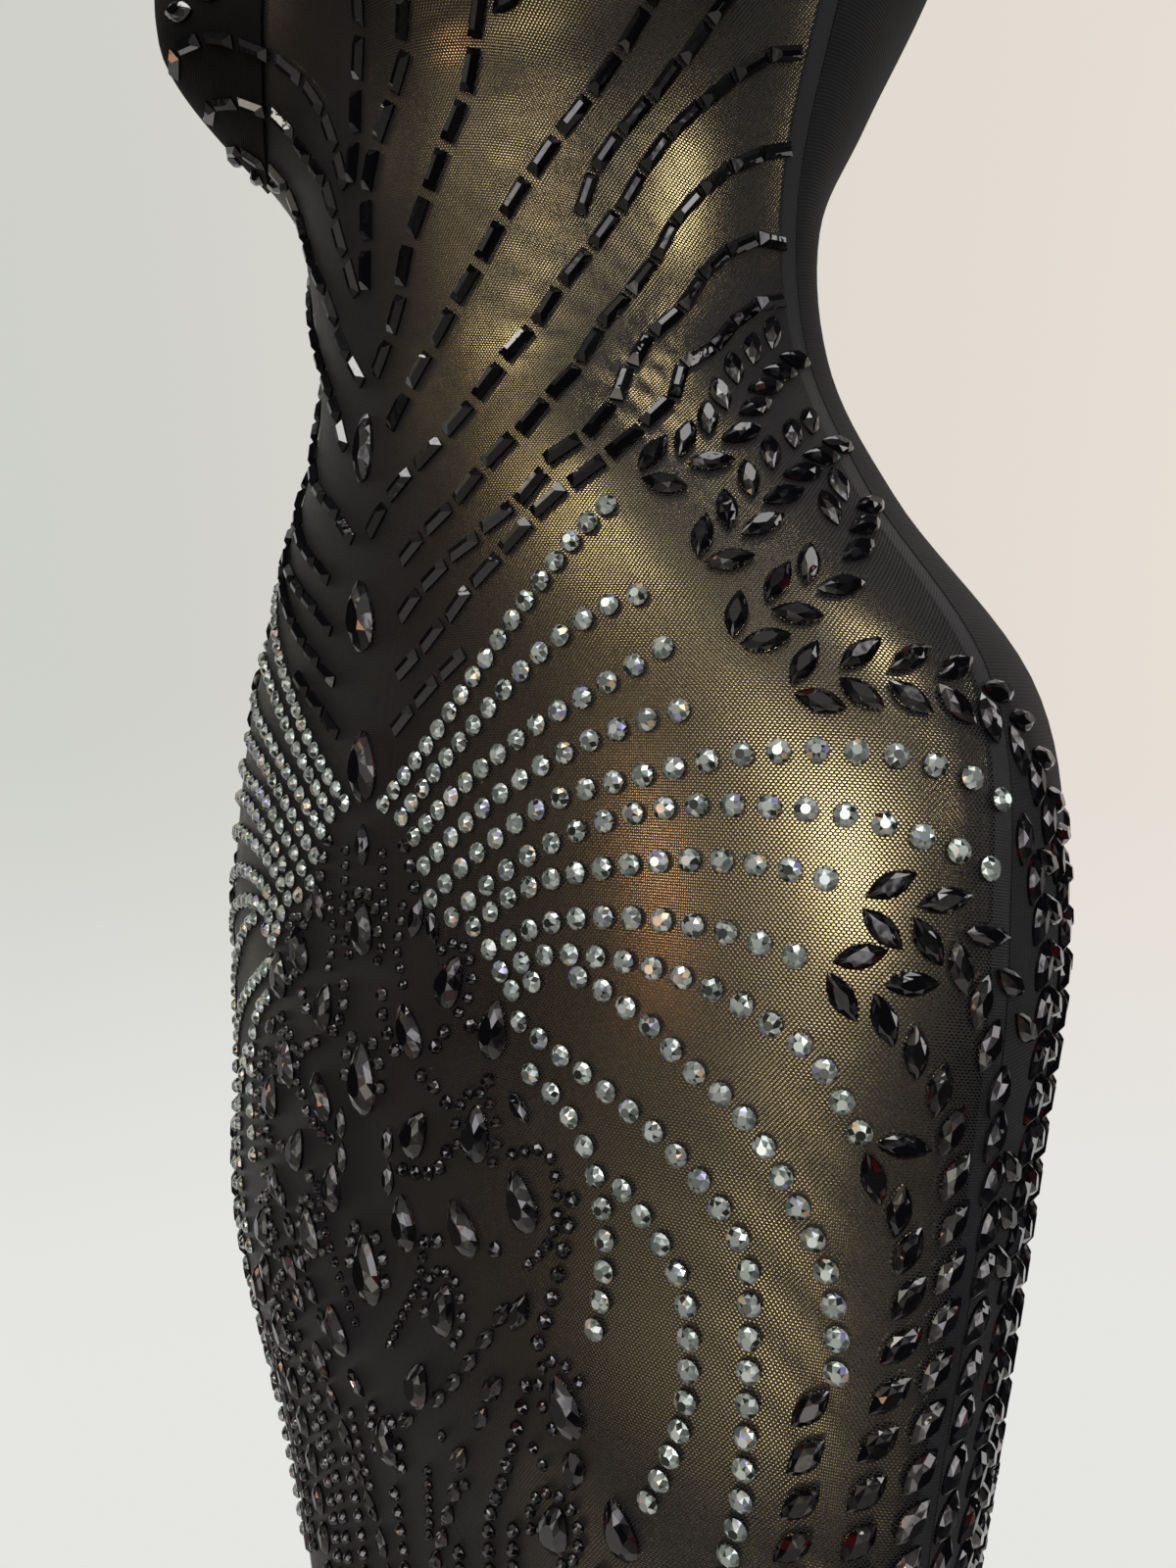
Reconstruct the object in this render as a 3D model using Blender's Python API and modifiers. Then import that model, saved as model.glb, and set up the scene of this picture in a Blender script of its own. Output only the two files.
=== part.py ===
"""Full-length stretch gown with a net front, on a limbless torso form with a pole and a round base.

The front faces -Y, the wearer's left is +X and the floor is at Z = 0. Sizes are metres.
A place on the cloth is an angle in degrees, round from the centre front to the wearer's left,
and a height above the floor.
"""
from collections import namedtuple
from math import pi

import bmesh
import bpy
import numpy as np
from mathutils import Vector
from mathutils.geometry import delaunay_2d_cdt

Section = namedtuple("Section", "height half_width front back middle")
SECTIONS = (
    Section(0.030, 0.200, -0.152, 0.148, 0.000),    # hem
    Section(0.240, 0.170, -0.124, 0.118, -0.002),
    Section(0.440, 0.149, -0.100, 0.095, -0.008),   # knee
    Section(0.560, 0.149, -0.093, 0.091, -0.025),
    Section(0.640, 0.161, -0.097, 0.091, -0.046),
    Section(0.720, 0.177, -0.110, 0.093, -0.058),   # thigh
    Section(0.800, 0.185, -0.114, 0.101, -0.048),
    Section(0.870, 0.191, -0.114, 0.117, -0.045),   # hip
    Section(0.940, 0.180, -0.114, 0.108, -0.035),
    Section(1.000, 0.138, -0.115, 0.064, -0.030),
    Section(1.050, 0.109, -0.112, 0.047, -0.018),
    Section(1.100, 0.106, -0.119, 0.042, -0.018),   # waist
    Section(1.150, 0.122, -0.122, 0.072, -0.020),
    Section(1.210, 0.148, -0.122, 0.103, -0.020),   # bust
    Section(1.270, 0.163, -0.116, 0.116, -0.012),   # neckline
    Section(1.330, 0.172, -0.088, 0.105, 0.004),
    Section(1.370, 0.150, -0.062, 0.080, 0.010),
    Section(1.395, 0.100, -0.050, 0.062, 0.006),    # shoulder
    Section(1.415, 0.064, -0.048, 0.052, 0.000),
    Section(1.480, 0.054, -0.050, 0.050, -0.002),   # neck
)

# Each side of the bust stands out of the sections as a soft mound.
BUST_SIDE = 0.084
BUST_HEIGHT = 1.178
BUST_DEPTH = 0.052
BUST_HALF_WIDTH = 0.060
BUST_RISE = 0.110
BUST_FALL = 0.030

# The rows are closer where the cloth curves more.
ROWS = (
    0.030, 0.120, 0.210, 0.300, 0.390, 0.475, 0.560, 0.605, 0.650, 0.700, 0.745, 0.790,
    0.830, 0.870, 0.910, 0.940, 0.960, 0.980, 1.000, 1.020, 1.040, 1.060, 1.080, 1.100,
    1.120, 1.140, 1.155, 1.170, 1.190, 1.210, 1.240, 1.270,
)
SHOULDER_ROWS = (1.300, 1.330, 1.352, 1.370, 1.384, 1.396, 1.407, 1.418, 1.434, 1.480)
COLUMN_STEP = 10.0
COLUMN_SCALE = 0.15          # metres for each radian, in the flat plan
TOP = ROWS[-1]
TOP_BEND = 1.190             # the neckline dips only above this height
FORM_FOOT = 0.560

Dip = namedtuple("Dip", "angle depth")
NECKLINE = (
    Dip(0, 0.035), Dip(18, 0.022), Dip(27, 0.0), Dip(54, 0.0), Dip(72, 0.024), Dip(90, 0.034),
    Dip(108, 0.024), Dip(126, 0.0), Dip(153, 0.0), Dip(162, 0.020), Dip(180, 0.040),
)

WALL = 0.0015                # cloth
SEAM_GAP = 0.0004
FORM_GAP = 0.0006
CUP_WALL = 0.0013

CUP_ANGLE = 36.0
CUP_HALF_ANGLE = 29.0
CUP_HEIGHT = 1.188
CUP_DROP = 0.056
CUP_POINTS = 18
CUP_TOP = 1.232

STRAP_INNER = 0.077
STRAP_OUTER = 0.113
STRAP_COLUMNS = 4
STRAP_ROWS = 22
STRAP_LIFT = 0.0006

POLE_RADIUS = 0.0125
BASE_RADIUS = 0.165
BASE_THICKNESS = 0.010
COLLAR_RADIUS = 0.026
COLLAR_HEIGHT = 0.024
NECK_CAP_HEIGHT = 0.030
CAP_STEPS = 5
REST_GAP = 0.0003

# The last two say how much of the full width a stone keeps near its tail and near its point.
Cut = namedtuple("Cut", "length width rise tail point")
LEAF = Cut(0.0140, 0.0064, 0.0030, 0.64, 0.64)
CENTRE_PEAR = Cut(0.0240, 0.0150, 0.0045, 0.90, 0.60)
SLIM_PEAR = Cut(0.0240, 0.0090, 0.0040, 0.90, 0.60)
PEAR = Cut(0.0180, 0.0110, 0.0038, 0.90, 0.60)
STONE_CLEAR = 0.0006

LEAF_SPACING = 0.0125
LEAF_SPLAY = 36.0
LEAF_ASIDE = 0.0055

# Laurel sprays on the wearer's left, from the front outwards and down; the right has the same.
Spray = namedtuple("Spray", "stops")
SPRAYS = (
    Spray(((47, 0.997), (56, 1.003), (64, 1.014), (71, 1.030), (79, 1.042), (87, 1.052))),
    Spray(((50, 0.970), (57, 0.979), (62, 0.987), (68, 0.996), (75, 1.005), (86, 1.016))),
    Spray(((50, 0.947), (57, 0.957), (63, 0.962), (69, 0.969), (75, 0.980), (86, 0.996))),
    Spray(((55, 0.934), (62, 0.938), (72, 0.937), (82, 0.934), (88, 0.930), (95, 0.918),
           (100, 0.900), (107, 0.870), (110, 0.800), (109, 0.720), (108, 0.650))),
    Spray(((92, 0.904), (97, 0.880), (100, 0.840), (101, 0.780), (100, 0.700), (99, 0.650))),
    Spray(((62, 0.881), (72, 0.877), (79, 0.870), (85, 0.860), (90, 0.840), (93, 0.800),
           (94, 0.740), (93, 0.660))),
    Spray(((58, 0.865), (67, 0.857), (73, 0.848), (79, 0.836), (83, 0.822), (86, 0.796),
           (87, 0.750), (86, 0.660))),
    Spray(((65, 0.821), (72, 0.811), (76, 0.799), (78, 0.780), (77, 0.757), (75, 0.728),
           (75, 0.680), (76, 0.640))),
    Spray(((64, 0.760), (64, 0.728), (62, 0.690), (61, 0.640))),
    Spray(((119, 0.905), (122, 0.840), (121, 0.740), (120, 0.660))),
)

# Pears and leaves of the middle motif on the wearer's left: place, lean from upright, cut.
Drop = namedtuple("Drop", "angle height lean cut")
MOTIF = (
    Drop(9, 0.868, 20, LEAF), Drop(14, 0.850, 28, PEAR), Drop(20, 0.838, 12, PEAR),
    Drop(8, 0.832, -24, PEAR), Drop(18, 0.806, 8, PEAR), Drop(24, 0.790, -14, PEAR),
    Drop(9, 0.800, 30, PEAR), Drop(16, 0.776, -30, PEAR), Drop(7, 0.770, -10, PEAR),
    Drop(24, 0.757, 22, LEAF), Drop(13, 0.748, 16, PEAR), Drop(20, 0.730, 40, LEAF),
    Drop(8, 0.718, 28, PEAR), Drop(14, 0.700, 34, LEAF), Drop(30, 0.735, -20, PEAR),
    Drop(37, 0.705, -12, PEAR), Drop(28, 0.695, 24, PEAR), Drop(34, 0.670, 6, LEAF),
)
MIDDLE = (
    Drop(0, 1.022, 0, SLIM_PEAR), Drop(0, 0.966, 0, CENTRE_PEAR), Drop(0, 0.916, 0, CENTRE_PEAR),
    Drop(0, 0.862, 0, PEAR), Drop(0, 0.812, 0, CENTRE_PEAR), Drop(0, 0.748, 0, CENTRE_PEAR),
    Drop(0, 0.688, 0, PEAR),
)


class Curve:
    """A smooth curve through values at knots."""

    def __init__(self, knots, values):
        self.knots = np.array(knots, float)
        self.values = np.array(values, float)
        self.slopes = np.gradient(self.values, self.knots)

    def __call__(self, at):
        low = np.clip(np.searchsorted(self.knots, at) - 1, 0, len(self.knots) - 2)
        span = self.knots[low + 1] - self.knots[low]
        t = (at - self.knots[low]) / span
        start = self.values[low] * (2 * t**3 - 3 * t**2 + 1)
        start += self.slopes[low] * span * (t**3 - 2 * t**2 + t)
        end = self.values[low + 1] * (3 * t**2 - 2 * t**3)
        return start + end + self.slopes[low + 1] * span * (t**3 - t**2)


CURVES = {
    column: Curve([section.height for section in SECTIONS], [getattr(section, column) for section in SECTIONS])
    for column in Section._fields[1:]
}


def smooth(column, height):
    """The value of one column of SECTIONS at any height."""
    return CURVES[column](np.asarray(height, float))


def bust(x, height):
    """How far the bust stands out of the sections."""
    fall = np.where(height > BUST_HEIGHT, BUST_RISE, BUST_FALL)
    left = np.exp(-((x - BUST_SIDE) / BUST_HALF_WIDTH) ** 2)
    right = np.exp(-((x + BUST_SIDE) / BUST_HALF_WIDTH) ** 2)
    return BUST_DEPTH * (left + right) * np.exp(-((height - BUST_HEIGHT) / fall) ** 2)


def outside(angle, height):
    """Points on the outside of the cloth."""
    angle = np.radians(np.asarray(angle, float))
    forward = np.cos(angle)
    middle = smooth("middle", height)
    depth = np.where(forward > 0, middle - smooth("front", height), smooth("back", height) - middle)
    x = smooth("half_width", height) * np.sin(angle)
    y = middle - depth * forward - bust(x, height) * np.sqrt(np.clip(forward, 0, None))
    return np.stack([x, y, np.broadcast_to(height, x.shape)], -1)


def slopes_at(angle, height):
    """The two directions in the cloth, for each degree round and for each metre up."""
    step = 0.05
    rise = 0.0005
    across = (outside(angle + step, height) - outside(angle - step, height)) / (2 * step)
    upward = (outside(angle, height + rise) - outside(angle, height - rise)) / (2 * rise)
    return across, upward


def cloth(angle, height, out):
    """Points at a distance out from the outside of the cloth, or in where out is negative."""
    angle = np.asarray(angle, float)
    height = np.asarray(height, float)
    across, upward = slopes_at(angle, height)
    normal = np.cross(across, upward)
    normal /= np.linalg.norm(normal, axis=-1, keepdims=True)
    return outside(angle, height) + normal * np.asarray(out, float)[..., None]


def row_height(level, angle):
    """The height of a row at an angle: the top rows follow the neckline."""
    turn = abs((angle + 180) % 360 - 180)
    dip = np.interp(turn, [d.angle for d in NECKLINE], [d.depth for d in NECKLINE])
    if level <= TOP_BEND or level > TOP:
        return level
    return level - dip * (level - TOP_BEND) / (TOP - TOP_BEND)


def seam_shift(height, at_back):
    """The angle that draws a side seam's edge back by half of the seam gap."""
    middle = smooth("middle", height)
    depth = smooth("back", height) - middle if at_back else middle - smooth("front", height)
    return np.degrees(SEAM_GAP / 2 / depth)


def beside(angle, height, along, up):
    """The place that lies a real distance along and up the cloth from a place on it."""
    across, upward = slopes_at(np.float64(angle), np.float64(height))
    width = np.linalg.norm(across)
    sideways = across / width
    lean = float(upward @ sideways)
    steep = float(np.linalg.norm(upward - lean * sideways))
    rise = up / steep
    return angle + (along - rise * lean) / width, height + rise


def oval(count):
    """A pointed oval of unit length and width, as points round it."""
    turns = np.arange(count) * 2 * pi / count
    return [(np.cos(turn) / 2, np.sign(np.sin(turn)) * np.sin(turn) ** 2 / 2) for turn in turns]


def pear(count):
    """A pear of unit length and width with its point at the plus end."""
    turns = np.arange(count) * 2 * pi / count
    return [(np.cos(turn) / 2, np.sin(turn) * (1 - 0.35 * np.cos(turn)) / 2.1) for turn in turns]


def stone(place, lean, cut):
    """A stone's rim and its top points, as places, with how far those are raised."""
    outline = oval(6) if cut is LEAF else pear(7)
    tops = [(0.0, 0.0)] if cut is LEAF else [(-0.2, 0.0), (0.2, 0.0)]
    turn = np.radians(lean)
    upright = np.array([np.sin(turn), np.cos(turn)])
    aside = np.array([np.cos(turn), -np.sin(turn)])
    places = []
    for length, width in outline + tops:
        along, up = upright * length * cut.length + aside * width * cut.width
        places.append(beside(*place, along, up))
    discs = []
    for step, share in ((-0.3, cut.tail), (0.0, 1.0), (0.3, cut.point)):
        spot = beside(*place, *(upright * step * cut.length))
        discs.append((cloth(*spot, 0.0), cut.width / 2 * share))
    rim = len(outline)
    return {"rim": places[:rim], "tops": places[rim:], "rise": cut.rise, "discs": discs}


def clear(new, placed):
    """Says whether a stone keeps clear of the stones that are there."""
    for old in placed:
        if abs(new["discs"][1][0][2] - old["discs"][1][0][2]) > 0.03:
            continue
        for a, a_radius in new["discs"]:
            for b, b_radius in old["discs"]:
                if np.linalg.norm(a - b) < a_radius + b_radius + STONE_CLEAR:
                    return False
    return True


def walk(stops, spacing):
    """Places at equal real distances along a smooth line through the stops, with its lean."""
    stops = np.array(stops, float)
    knots = np.linspace(0, 1, len(stops))
    fine = np.linspace(0, 1, 400)
    angle, height = (Curve(knots, stops[:, k])(fine) for k in (0, 1))
    points = outside(angle, height)
    length = np.concatenate([[0], np.cumsum(np.linalg.norm(np.diff(points, axis=0), axis=1))])
    places = []
    for distance in np.arange(spacing / 2, length[-1], spacing):
        here = np.interp(distance, length, fine)
        k = min(int(here * 399), 398)
        across, upward = slopes_at(angle[k], height[k])
        step = points[k + 1] - points[k]
        sideways = across / np.linalg.norm(across)
        upright = upward - (upward @ sideways) * sideways
        upright /= np.linalg.norm(upright)
        lean = np.degrees(np.arctan2(step @ sideways, step @ upright))
        places.append((np.interp(here, fine, angle), np.interp(here, fine, height), lean))
    return places


def large_stones():
    """All the stones that are raised in the panels, on both sides of the gown."""
    placed = []
    wanted = [(drop.angle, drop.height, drop.lean, drop.cut) for drop in MIDDLE]
    for side in (1, -1):
        wanted += [(side * d.angle, d.height, side * d.lean, d.cut) for d in MOTIF]
        for spray in SPRAYS:
            for angle, height, lean in walk(spray.stops, LEAF_SPACING):
                for hand in (1, -1):
                    turn = np.radians(lean + hand * 90)
                    spot = beside(angle, height, LEAF_ASIDE * np.sin(turn), LEAF_ASIDE * np.cos(turn))
                    wanted.append((side * spot[0], spot[1], side * (lean + hand * LEAF_SPLAY), LEAF))
    for angle, height, lean, cut in wanted:
        new = stone((angle, height), lean, cut)
        if clear(new, placed):
            placed.append(new)
    return placed


def cup_outline(side):
    """The outline of a cup: a round lower edge and a level top below the neckline."""
    places = []
    for turn in np.linspace(0, pi, CUP_POINTS):
        angle = CUP_ANGLE + CUP_HALF_ANGLE * np.cos(turn)
        places.append((side * angle, CUP_HEIGHT - CUP_DROP * np.sin(turn)))
    for share in (0.0, 0.25, 0.5, 0.75, 1.0):
        angle = CUP_ANGLE - CUP_HALF_ANGLE * (1 - 2 * share)
        places.append((side * angle, CUP_TOP))
    return places


def inside(place, outline):
    """Says whether a place is within an outline."""
    x, y = place
    hit = False
    for (ax, ay), (bx, by) in zip(outline, outline[1:] + outline[:1]):
        if (ay > y) != (by > y) and x < ax + (y - ay) * (bx - ax) / (by - ay):
            hit = not hit
    return hit


def near(place, outline, margin):
    """Says whether a place is within an outline or close to one of its corners."""
    if abs(place[1] - outline[0][1]) > 0.04:
        return False
    if inside(place, outline):
        return True
    span = COLUMN_SCALE * pi / 180
    return any(np.hypot((place[0] - a) * span, place[1] - h) < margin for a, h in outline)


def lay_out(columns, rows, cups, stones, seams=True):
    """A flat plan of a stretch of cloth: places, heights of stones, triangles and the border."""
    places = []
    raised = []
    index = {}
    taken = [one["rim"] for one in stones]
    last_column, last_row = len(columns) - 1, len(rows) - 1
    for i, column in enumerate(columns):
        for j, level in enumerate(rows):
            place = (column, row_height(level, column))
            if seams and i in (0, last_column):
                shift = seam_shift(place[1], columns[-1] > 90)
                place = (column + (shift if i == 0 else -shift), place[1])
            edge = i in (0, last_column) or j in (0, last_row)
            crowded = any(close_corner(place, outline, 0.004) for outline in cups)
            covered = any(near(place, outline, 0.0025) for outline in taken)
            if edge or not (crowded or covered):
                index[i, j] = len(places)
                places.append(place)
                raised.append(0.0)
    edges = []
    for i in range(last_column):
        for j in range(last_row):
            corners = [(i, j), (i + 1, j), (i + 1, j + 1), (i, j + 1)]
            if all(corner in index for corner in corners):
                quad = [places[index[corner]] for corner in corners]
                if not any(crosses(quad, outline) for outline in cups + taken):
                    edges.append((index[i, j], index[i + 1, j + 1]))
    for outline in cups:
        edges += add_loop(outline, places, raised, 0.0)
    for one in stones:
        edges += add_loop(one["rim"], places, raised, 0.0)
        for place in one["tops"]:
            places.append(place)
            raised.append(one["rise"])
    border = [index[i, 0] for i in range(last_column)]
    border += [index[last_column, j] for j in range(last_row)]
    border += [index[i, last_row] for i in range(last_column, 0, -1)]
    border += [index[0, j] for j in range(last_row, 0, -1)]
    return places, raised, triangles(places, edges, border), border


def close_corner(place, outline, margin):
    """Says whether a place is close to a corner of an outline."""
    span = COLUMN_SCALE * pi / 180
    return any(np.hypot((place[0] - a) * span, place[1] - h) < margin for a, h in outline)


def crosses(quad, outline):
    """Says whether an outline comes within the box of a quad."""
    low = np.min(quad, axis=0)
    high = np.max(quad, axis=0)
    return bool(np.all(np.max(outline, axis=0) > low) and np.all(np.min(outline, axis=0) < high))


def add_loop(outline, places, raised, height):
    """Adds a closed outline to the plan and returns its edges."""
    first = len(places)
    places.extend(outline)
    raised.extend([height] * len(outline))
    count = len(outline)
    return [(first + k, first + (k + 1) % count) for k in range(count)]


def triangles(places, edges, border):
    """Constrained triangles of the plan, inside its border."""
    scale = COLUMN_SCALE * pi / 180
    flat = [Vector((angle * scale, height)) for angle, height in places]
    points, _, faces, origins, _, owners = delaunay_2d_cdt(flat, edges, [border], 0, 1e-7, True)
    if len(points) != len(places):
        raise ValueError(f"the plan has crossing edges: {len(places)} places, {len(points)} made")
    return [[origins[corner][0] for corner in face] for face, owner in zip(faces, owners) if owner]


def material(name, colour, roughness, metallic=0.0):
    made = bpy.data.materials.new(name)
    made.use_nodes = True
    shader = made.node_tree.nodes["Principled BSDF"]
    shader.inputs["Base Color"].default_value = (*colour, 1.0)
    shader.inputs["Roughness"].default_value = roughness
    shader.inputs["Metallic"].default_value = metallic
    return made


def add_object(name, mesh, finish, collection):
    made = bpy.data.objects.new(name, mesh)
    mesh.materials.append(finish)
    collection.objects.link(made)
    return made


def mesh_from(name, points, faces):
    """A mesh of points and faces, welded, with its faces pointing out."""
    mesh = bpy.data.meshes.new(name)
    mesh.from_pydata([tuple(point) for point in points], [], faces)
    build = bmesh.new()
    build.from_mesh(mesh)
    bmesh.ops.remove_doubles(build, verts=build.verts, dist=1e-6)
    bmesh.ops.recalc_face_normals(build, faces=build.faces)
    build.to_mesh(mesh)
    build.free()
    mesh.shade_smooth()
    mesh.set_sharp_from_angle(angle=0.6)
    return mesh


def wall_mesh(name, outer, inner, border_outer, border_inner):
    """A closed wall of an outer and an inner layer, joined round their border."""
    outer_points, outer_faces = outer
    inner_points, inner_faces = inner
    shift = len(outer_points)
    faces = [list(face) for face in outer_faces]
    faces += [[corner + shift for corner in reversed(face)] for face in inner_faces]
    count = len(border_outer)
    for k in range(count):
        a, b = border_outer[k], border_outer[(k + 1) % count]
        c, d = border_inner[(k + 1) % count] + shift, border_inner[k] + shift
        faces += [[b, a, d], [b, d, c]]
    return mesh_from(name, list(outer_points) + list(inner_points), faces)


def layer(places, raised, out):
    """The places of a plan as points at a distance out, with the stones raised."""
    angle, height = np.array(places).T
    return cloth(angle, height, np.array(raised) + out)


def panel(name, first, last, cups, stones, finish, collection):
    """A panel between two side seams, with stones raised on its outside."""
    columns = np.arange(first, last + 1, COLUMN_STEP)
    places, raised, faces, border = lay_out(columns, ROWS, cups, stones)
    plain_places, plain, plain_faces, plain_border = lay_out(columns, ROWS, cups, [])
    outer = (layer(places, raised, 0.0), faces)
    inner = (layer(plain_places, plain, -WALL), plain_faces)
    mesh = wall_mesh(name, outer, inner, border, plain_border)
    return add_object(name, mesh, finish, collection)


def cup(name, side, cups, finish, collection):
    """A cup: the panel's own triangles inside the cup's outline, moved out."""
    columns = np.arange(-90, 91, COLUMN_STEP)
    places, flat, faces, _ = lay_out(columns, ROWS, cups, [])
    outline = cups[0] if side > 0 else cups[1]
    first = len(places) - len(outline) * (2 if side > 0 else 1)
    rim = list(range(first, first + len(outline)))
    kept = [face for face in faces if inside(np.mean([places[c] for c in face], axis=0), outline)]
    lower = layer(places, flat, SEAM_GAP)
    upper = layer(places, flat, SEAM_GAP + CUP_WALL)
    mesh = wall_mesh(name, (upper, kept), (lower, kept), rim, rim)
    loose = bmesh.new()
    loose.from_mesh(mesh)
    bmesh.ops.delete(loose, geom=[v for v in loose.verts if not v.link_faces], context="VERTS")
    bmesh.ops.recalc_face_normals(loose, faces=loose.faces)
    loose.to_mesh(mesh)
    loose.free()
    return add_object(name, mesh, finish, collection)


def strap(name, side, finish, collection):
    """A strap from the front's top edge over the shoulder to the back's top edge."""
    sides = np.linspace(STRAP_INNER, STRAP_OUTER, STRAP_COLUMNS)
    levels = np.linspace(TOP, 1.43, 600)
    widths = smooth("half_width", levels)
    foot = TOP + SEAM_GAP
    places = []
    for x in sides:
        crest = levels[np.nonzero(widths > x)[0][-1]]
        for turn in np.linspace(-pi / 2, pi / 2, STRAP_ROWS):
            height = foot + (crest - foot) * np.cos(turn)
            lean = np.degrees(np.arcsin(min(1.0, x / float(smooth("half_width", height)))))
            places.append((side * (lean if turn < 0 else 180 - lean), height))
    angle, height = np.array(places).T
    count = STRAP_ROWS
    faces = []
    for i in range(STRAP_COLUMNS - 1):
        for j in range(count - 1):
            a, b, c, d = i * count + j, (i + 1) * count + j, (i + 1) * count + j + 1, i * count + j + 1
            faces += [[a, b, c], [a, c, d]]
    last = (STRAP_COLUMNS - 1) * count
    border = [i * count for i in range(STRAP_COLUMNS)]
    border += [last + j for j in range(1, count)]
    border += [i * count + count - 1 for i in range(STRAP_COLUMNS - 2, -1, -1)]
    border += list(range(count - 2, 0, -1))
    if side < 0:
        faces = [face[::-1] for face in faces]
        border = border[::-1]
    outer = (cloth(angle, height, np.full(len(angle), STRAP_LIFT)), faces)
    inner = (cloth(angle, height, np.full(len(angle), STRAP_LIFT - WALL)), faces)
    return add_object(name, wall_mesh(name, outer, inner, border, border), finish, collection)


def torso(name, cups, finish, collection):
    """The form under the gown: the cloth's own plan moved in, closed at its foot and neck."""
    columns = np.arange(-180, 181, COLUMN_STEP)
    rows = [level for level in ROWS if level >= FORM_FOOT] + list(SHOULDER_ROWS)
    places, flat, faces, _ = lay_out(columns, rows, cups, [], seams=False)
    points = [tuple(point) for point in layer(places, flat, -WALL - FORM_GAP)]
    hubs = []
    for level in (rows[0], rows[-1]):
        ring = [k for k, place in enumerate(places) if abs(place[1] - level) < 1e-6]
        ring.sort(key=lambda k: places[k][0])
        level_z = np.mean([points[k][2] for k in ring])
        for k in ring:
            points[k] = (points[k][0], points[k][1], level_z)
        hubs.append(np.mean([points[k] for k in ring[:-1]], axis=0))
        points.append(tuple(hubs[-1]))
        faces += [[ring[k], ring[k + 1], len(points) - 1] for k in range(len(ring) - 1)]
    add_object(name, mesh_from(name, points, faces), finish, collection)
    return hubs


def turned(name, profile, centre, finish, collection, steps=48):
    """A turned piece from a profile of radius and height, from its top down."""
    mesh = bpy.data.meshes.new(name)
    edges = [(k, k + 1) for k in range(len(profile) - 1)]
    mesh.from_pydata([(radius, 0.0, height) for radius, height in profile], edges, [])
    made = add_object(name, mesh, finish, collection)
    made.location = centre
    screw = made.modifiers.new("Turn", "SCREW")
    screw.steps = steps
    screw.render_steps = steps
    screw.use_merge_vertices = True
    screw.merge_threshold = 0.00005
    screw.use_smooth_shade = True
    return made


def build():
    for old in list(bpy.data.objects):
        bpy.data.objects.remove(old, do_unlink=True)
    gown = bpy.data.collections.new("mesh_gown")
    bpy.context.scene.collection.children.link(gown)

    net = material("net", (0.012, 0.012, 0.014), 0.75)
    back = material("back_fabric", (0.010, 0.010, 0.012), 0.85)
    cups_fabric = material("cup_fabric", (0.010, 0.010, 0.012), 0.80)
    strap_fabric = material("strap_fabric", (0.010, 0.010, 0.012), 0.80)
    gold = material("gold_form", (0.62, 0.46, 0.17), 0.25, 0.9)
    cap = material("neck_cap", (0.55, 0.42, 0.18), 0.30, 0.9)
    steel = material("pole_steel", (0.60, 0.60, 0.62), 0.25, 1.0)
    plate = material("base_plate", (0.56, 0.56, 0.58), 0.35, 1.0)

    cups = [cup_outline(1), cup_outline(-1)]
    margin = 0.0025 / COLUMN_SCALE * 180 / pi
    stones = large_stones()
    front_stones = [s for s in stones if all(abs(a) < 90 - margin for a, _ in s["rim"])]
    left_side = [s for s in stones if all(a > 90 + margin for a, _ in s["rim"])]
    right_side = [s for s in stones if all(a < -90 - margin for a, _ in s["rim"])]
    for one in right_side:
        one["rim"] = [(a + 360, h) for a, h in one["rim"]]
        one["tops"] = [(a + 360, h) for a, h in one["tops"]]

    panel("front_net_panel", -90, 90, cups, front_stones, net, gown)
    panel("back_panel", 90, 270, [], left_side + right_side, back, gown)
    cup("cup_left", 1, cups, cups_fabric, gown)
    cup("cup_right", -1, cups, cups_fabric, gown)
    strap("strap_left", 1, strap_fabric, gown)
    strap("strap_right", -1, strap_fabric, gown)

    foot, neck = torso("form_torso", cups, gold, gown)
    radius = SECTIONS[-1].half_width
    cap_profile = [(0.0, NECK_CAP_HEIGHT)]
    for k in range(1, CAP_STEPS + 1):
        turn = k * pi / 2 / CAP_STEPS
        cap_profile.append((radius * np.sin(turn), 0.008 + (NECK_CAP_HEIGHT - 0.008) * np.cos(turn)))
    cap_profile += [(radius, 0.0), (0.0, 0.0)]
    turned("form_neck_cap", cap_profile, (neck[0], neck[1], neck[2] + REST_GAP), cap, gown, 24)

    pole_low = BASE_THICKNESS + COLLAR_HEIGHT + REST_GAP
    pole_high = foot[2] - REST_GAP
    pole = [(0.0, pole_high), (POLE_RADIUS, pole_high), (POLE_RADIUS, pole_low), (0.0, pole_low)]
    turned("stand_pole", pole, (0.0, 0.0, 0.0), steel, gown, 24)
    base = [
        (0.0, BASE_THICKNESS + COLLAR_HEIGHT), (COLLAR_RADIUS * 0.7, BASE_THICKNESS + COLLAR_HEIGHT),
        (COLLAR_RADIUS, BASE_THICKNESS), (BASE_RADIUS - 0.003, BASE_THICKNESS),
        (BASE_RADIUS, BASE_THICKNESS - 0.003), (BASE_RADIUS, 0.0), (0.0, 0.0),
    ]
    turned("stand_base", base, (0.0, 0.0, 0.0), plate, gown, 48)


build()
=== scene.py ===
import bpy
import numpy as np

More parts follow.
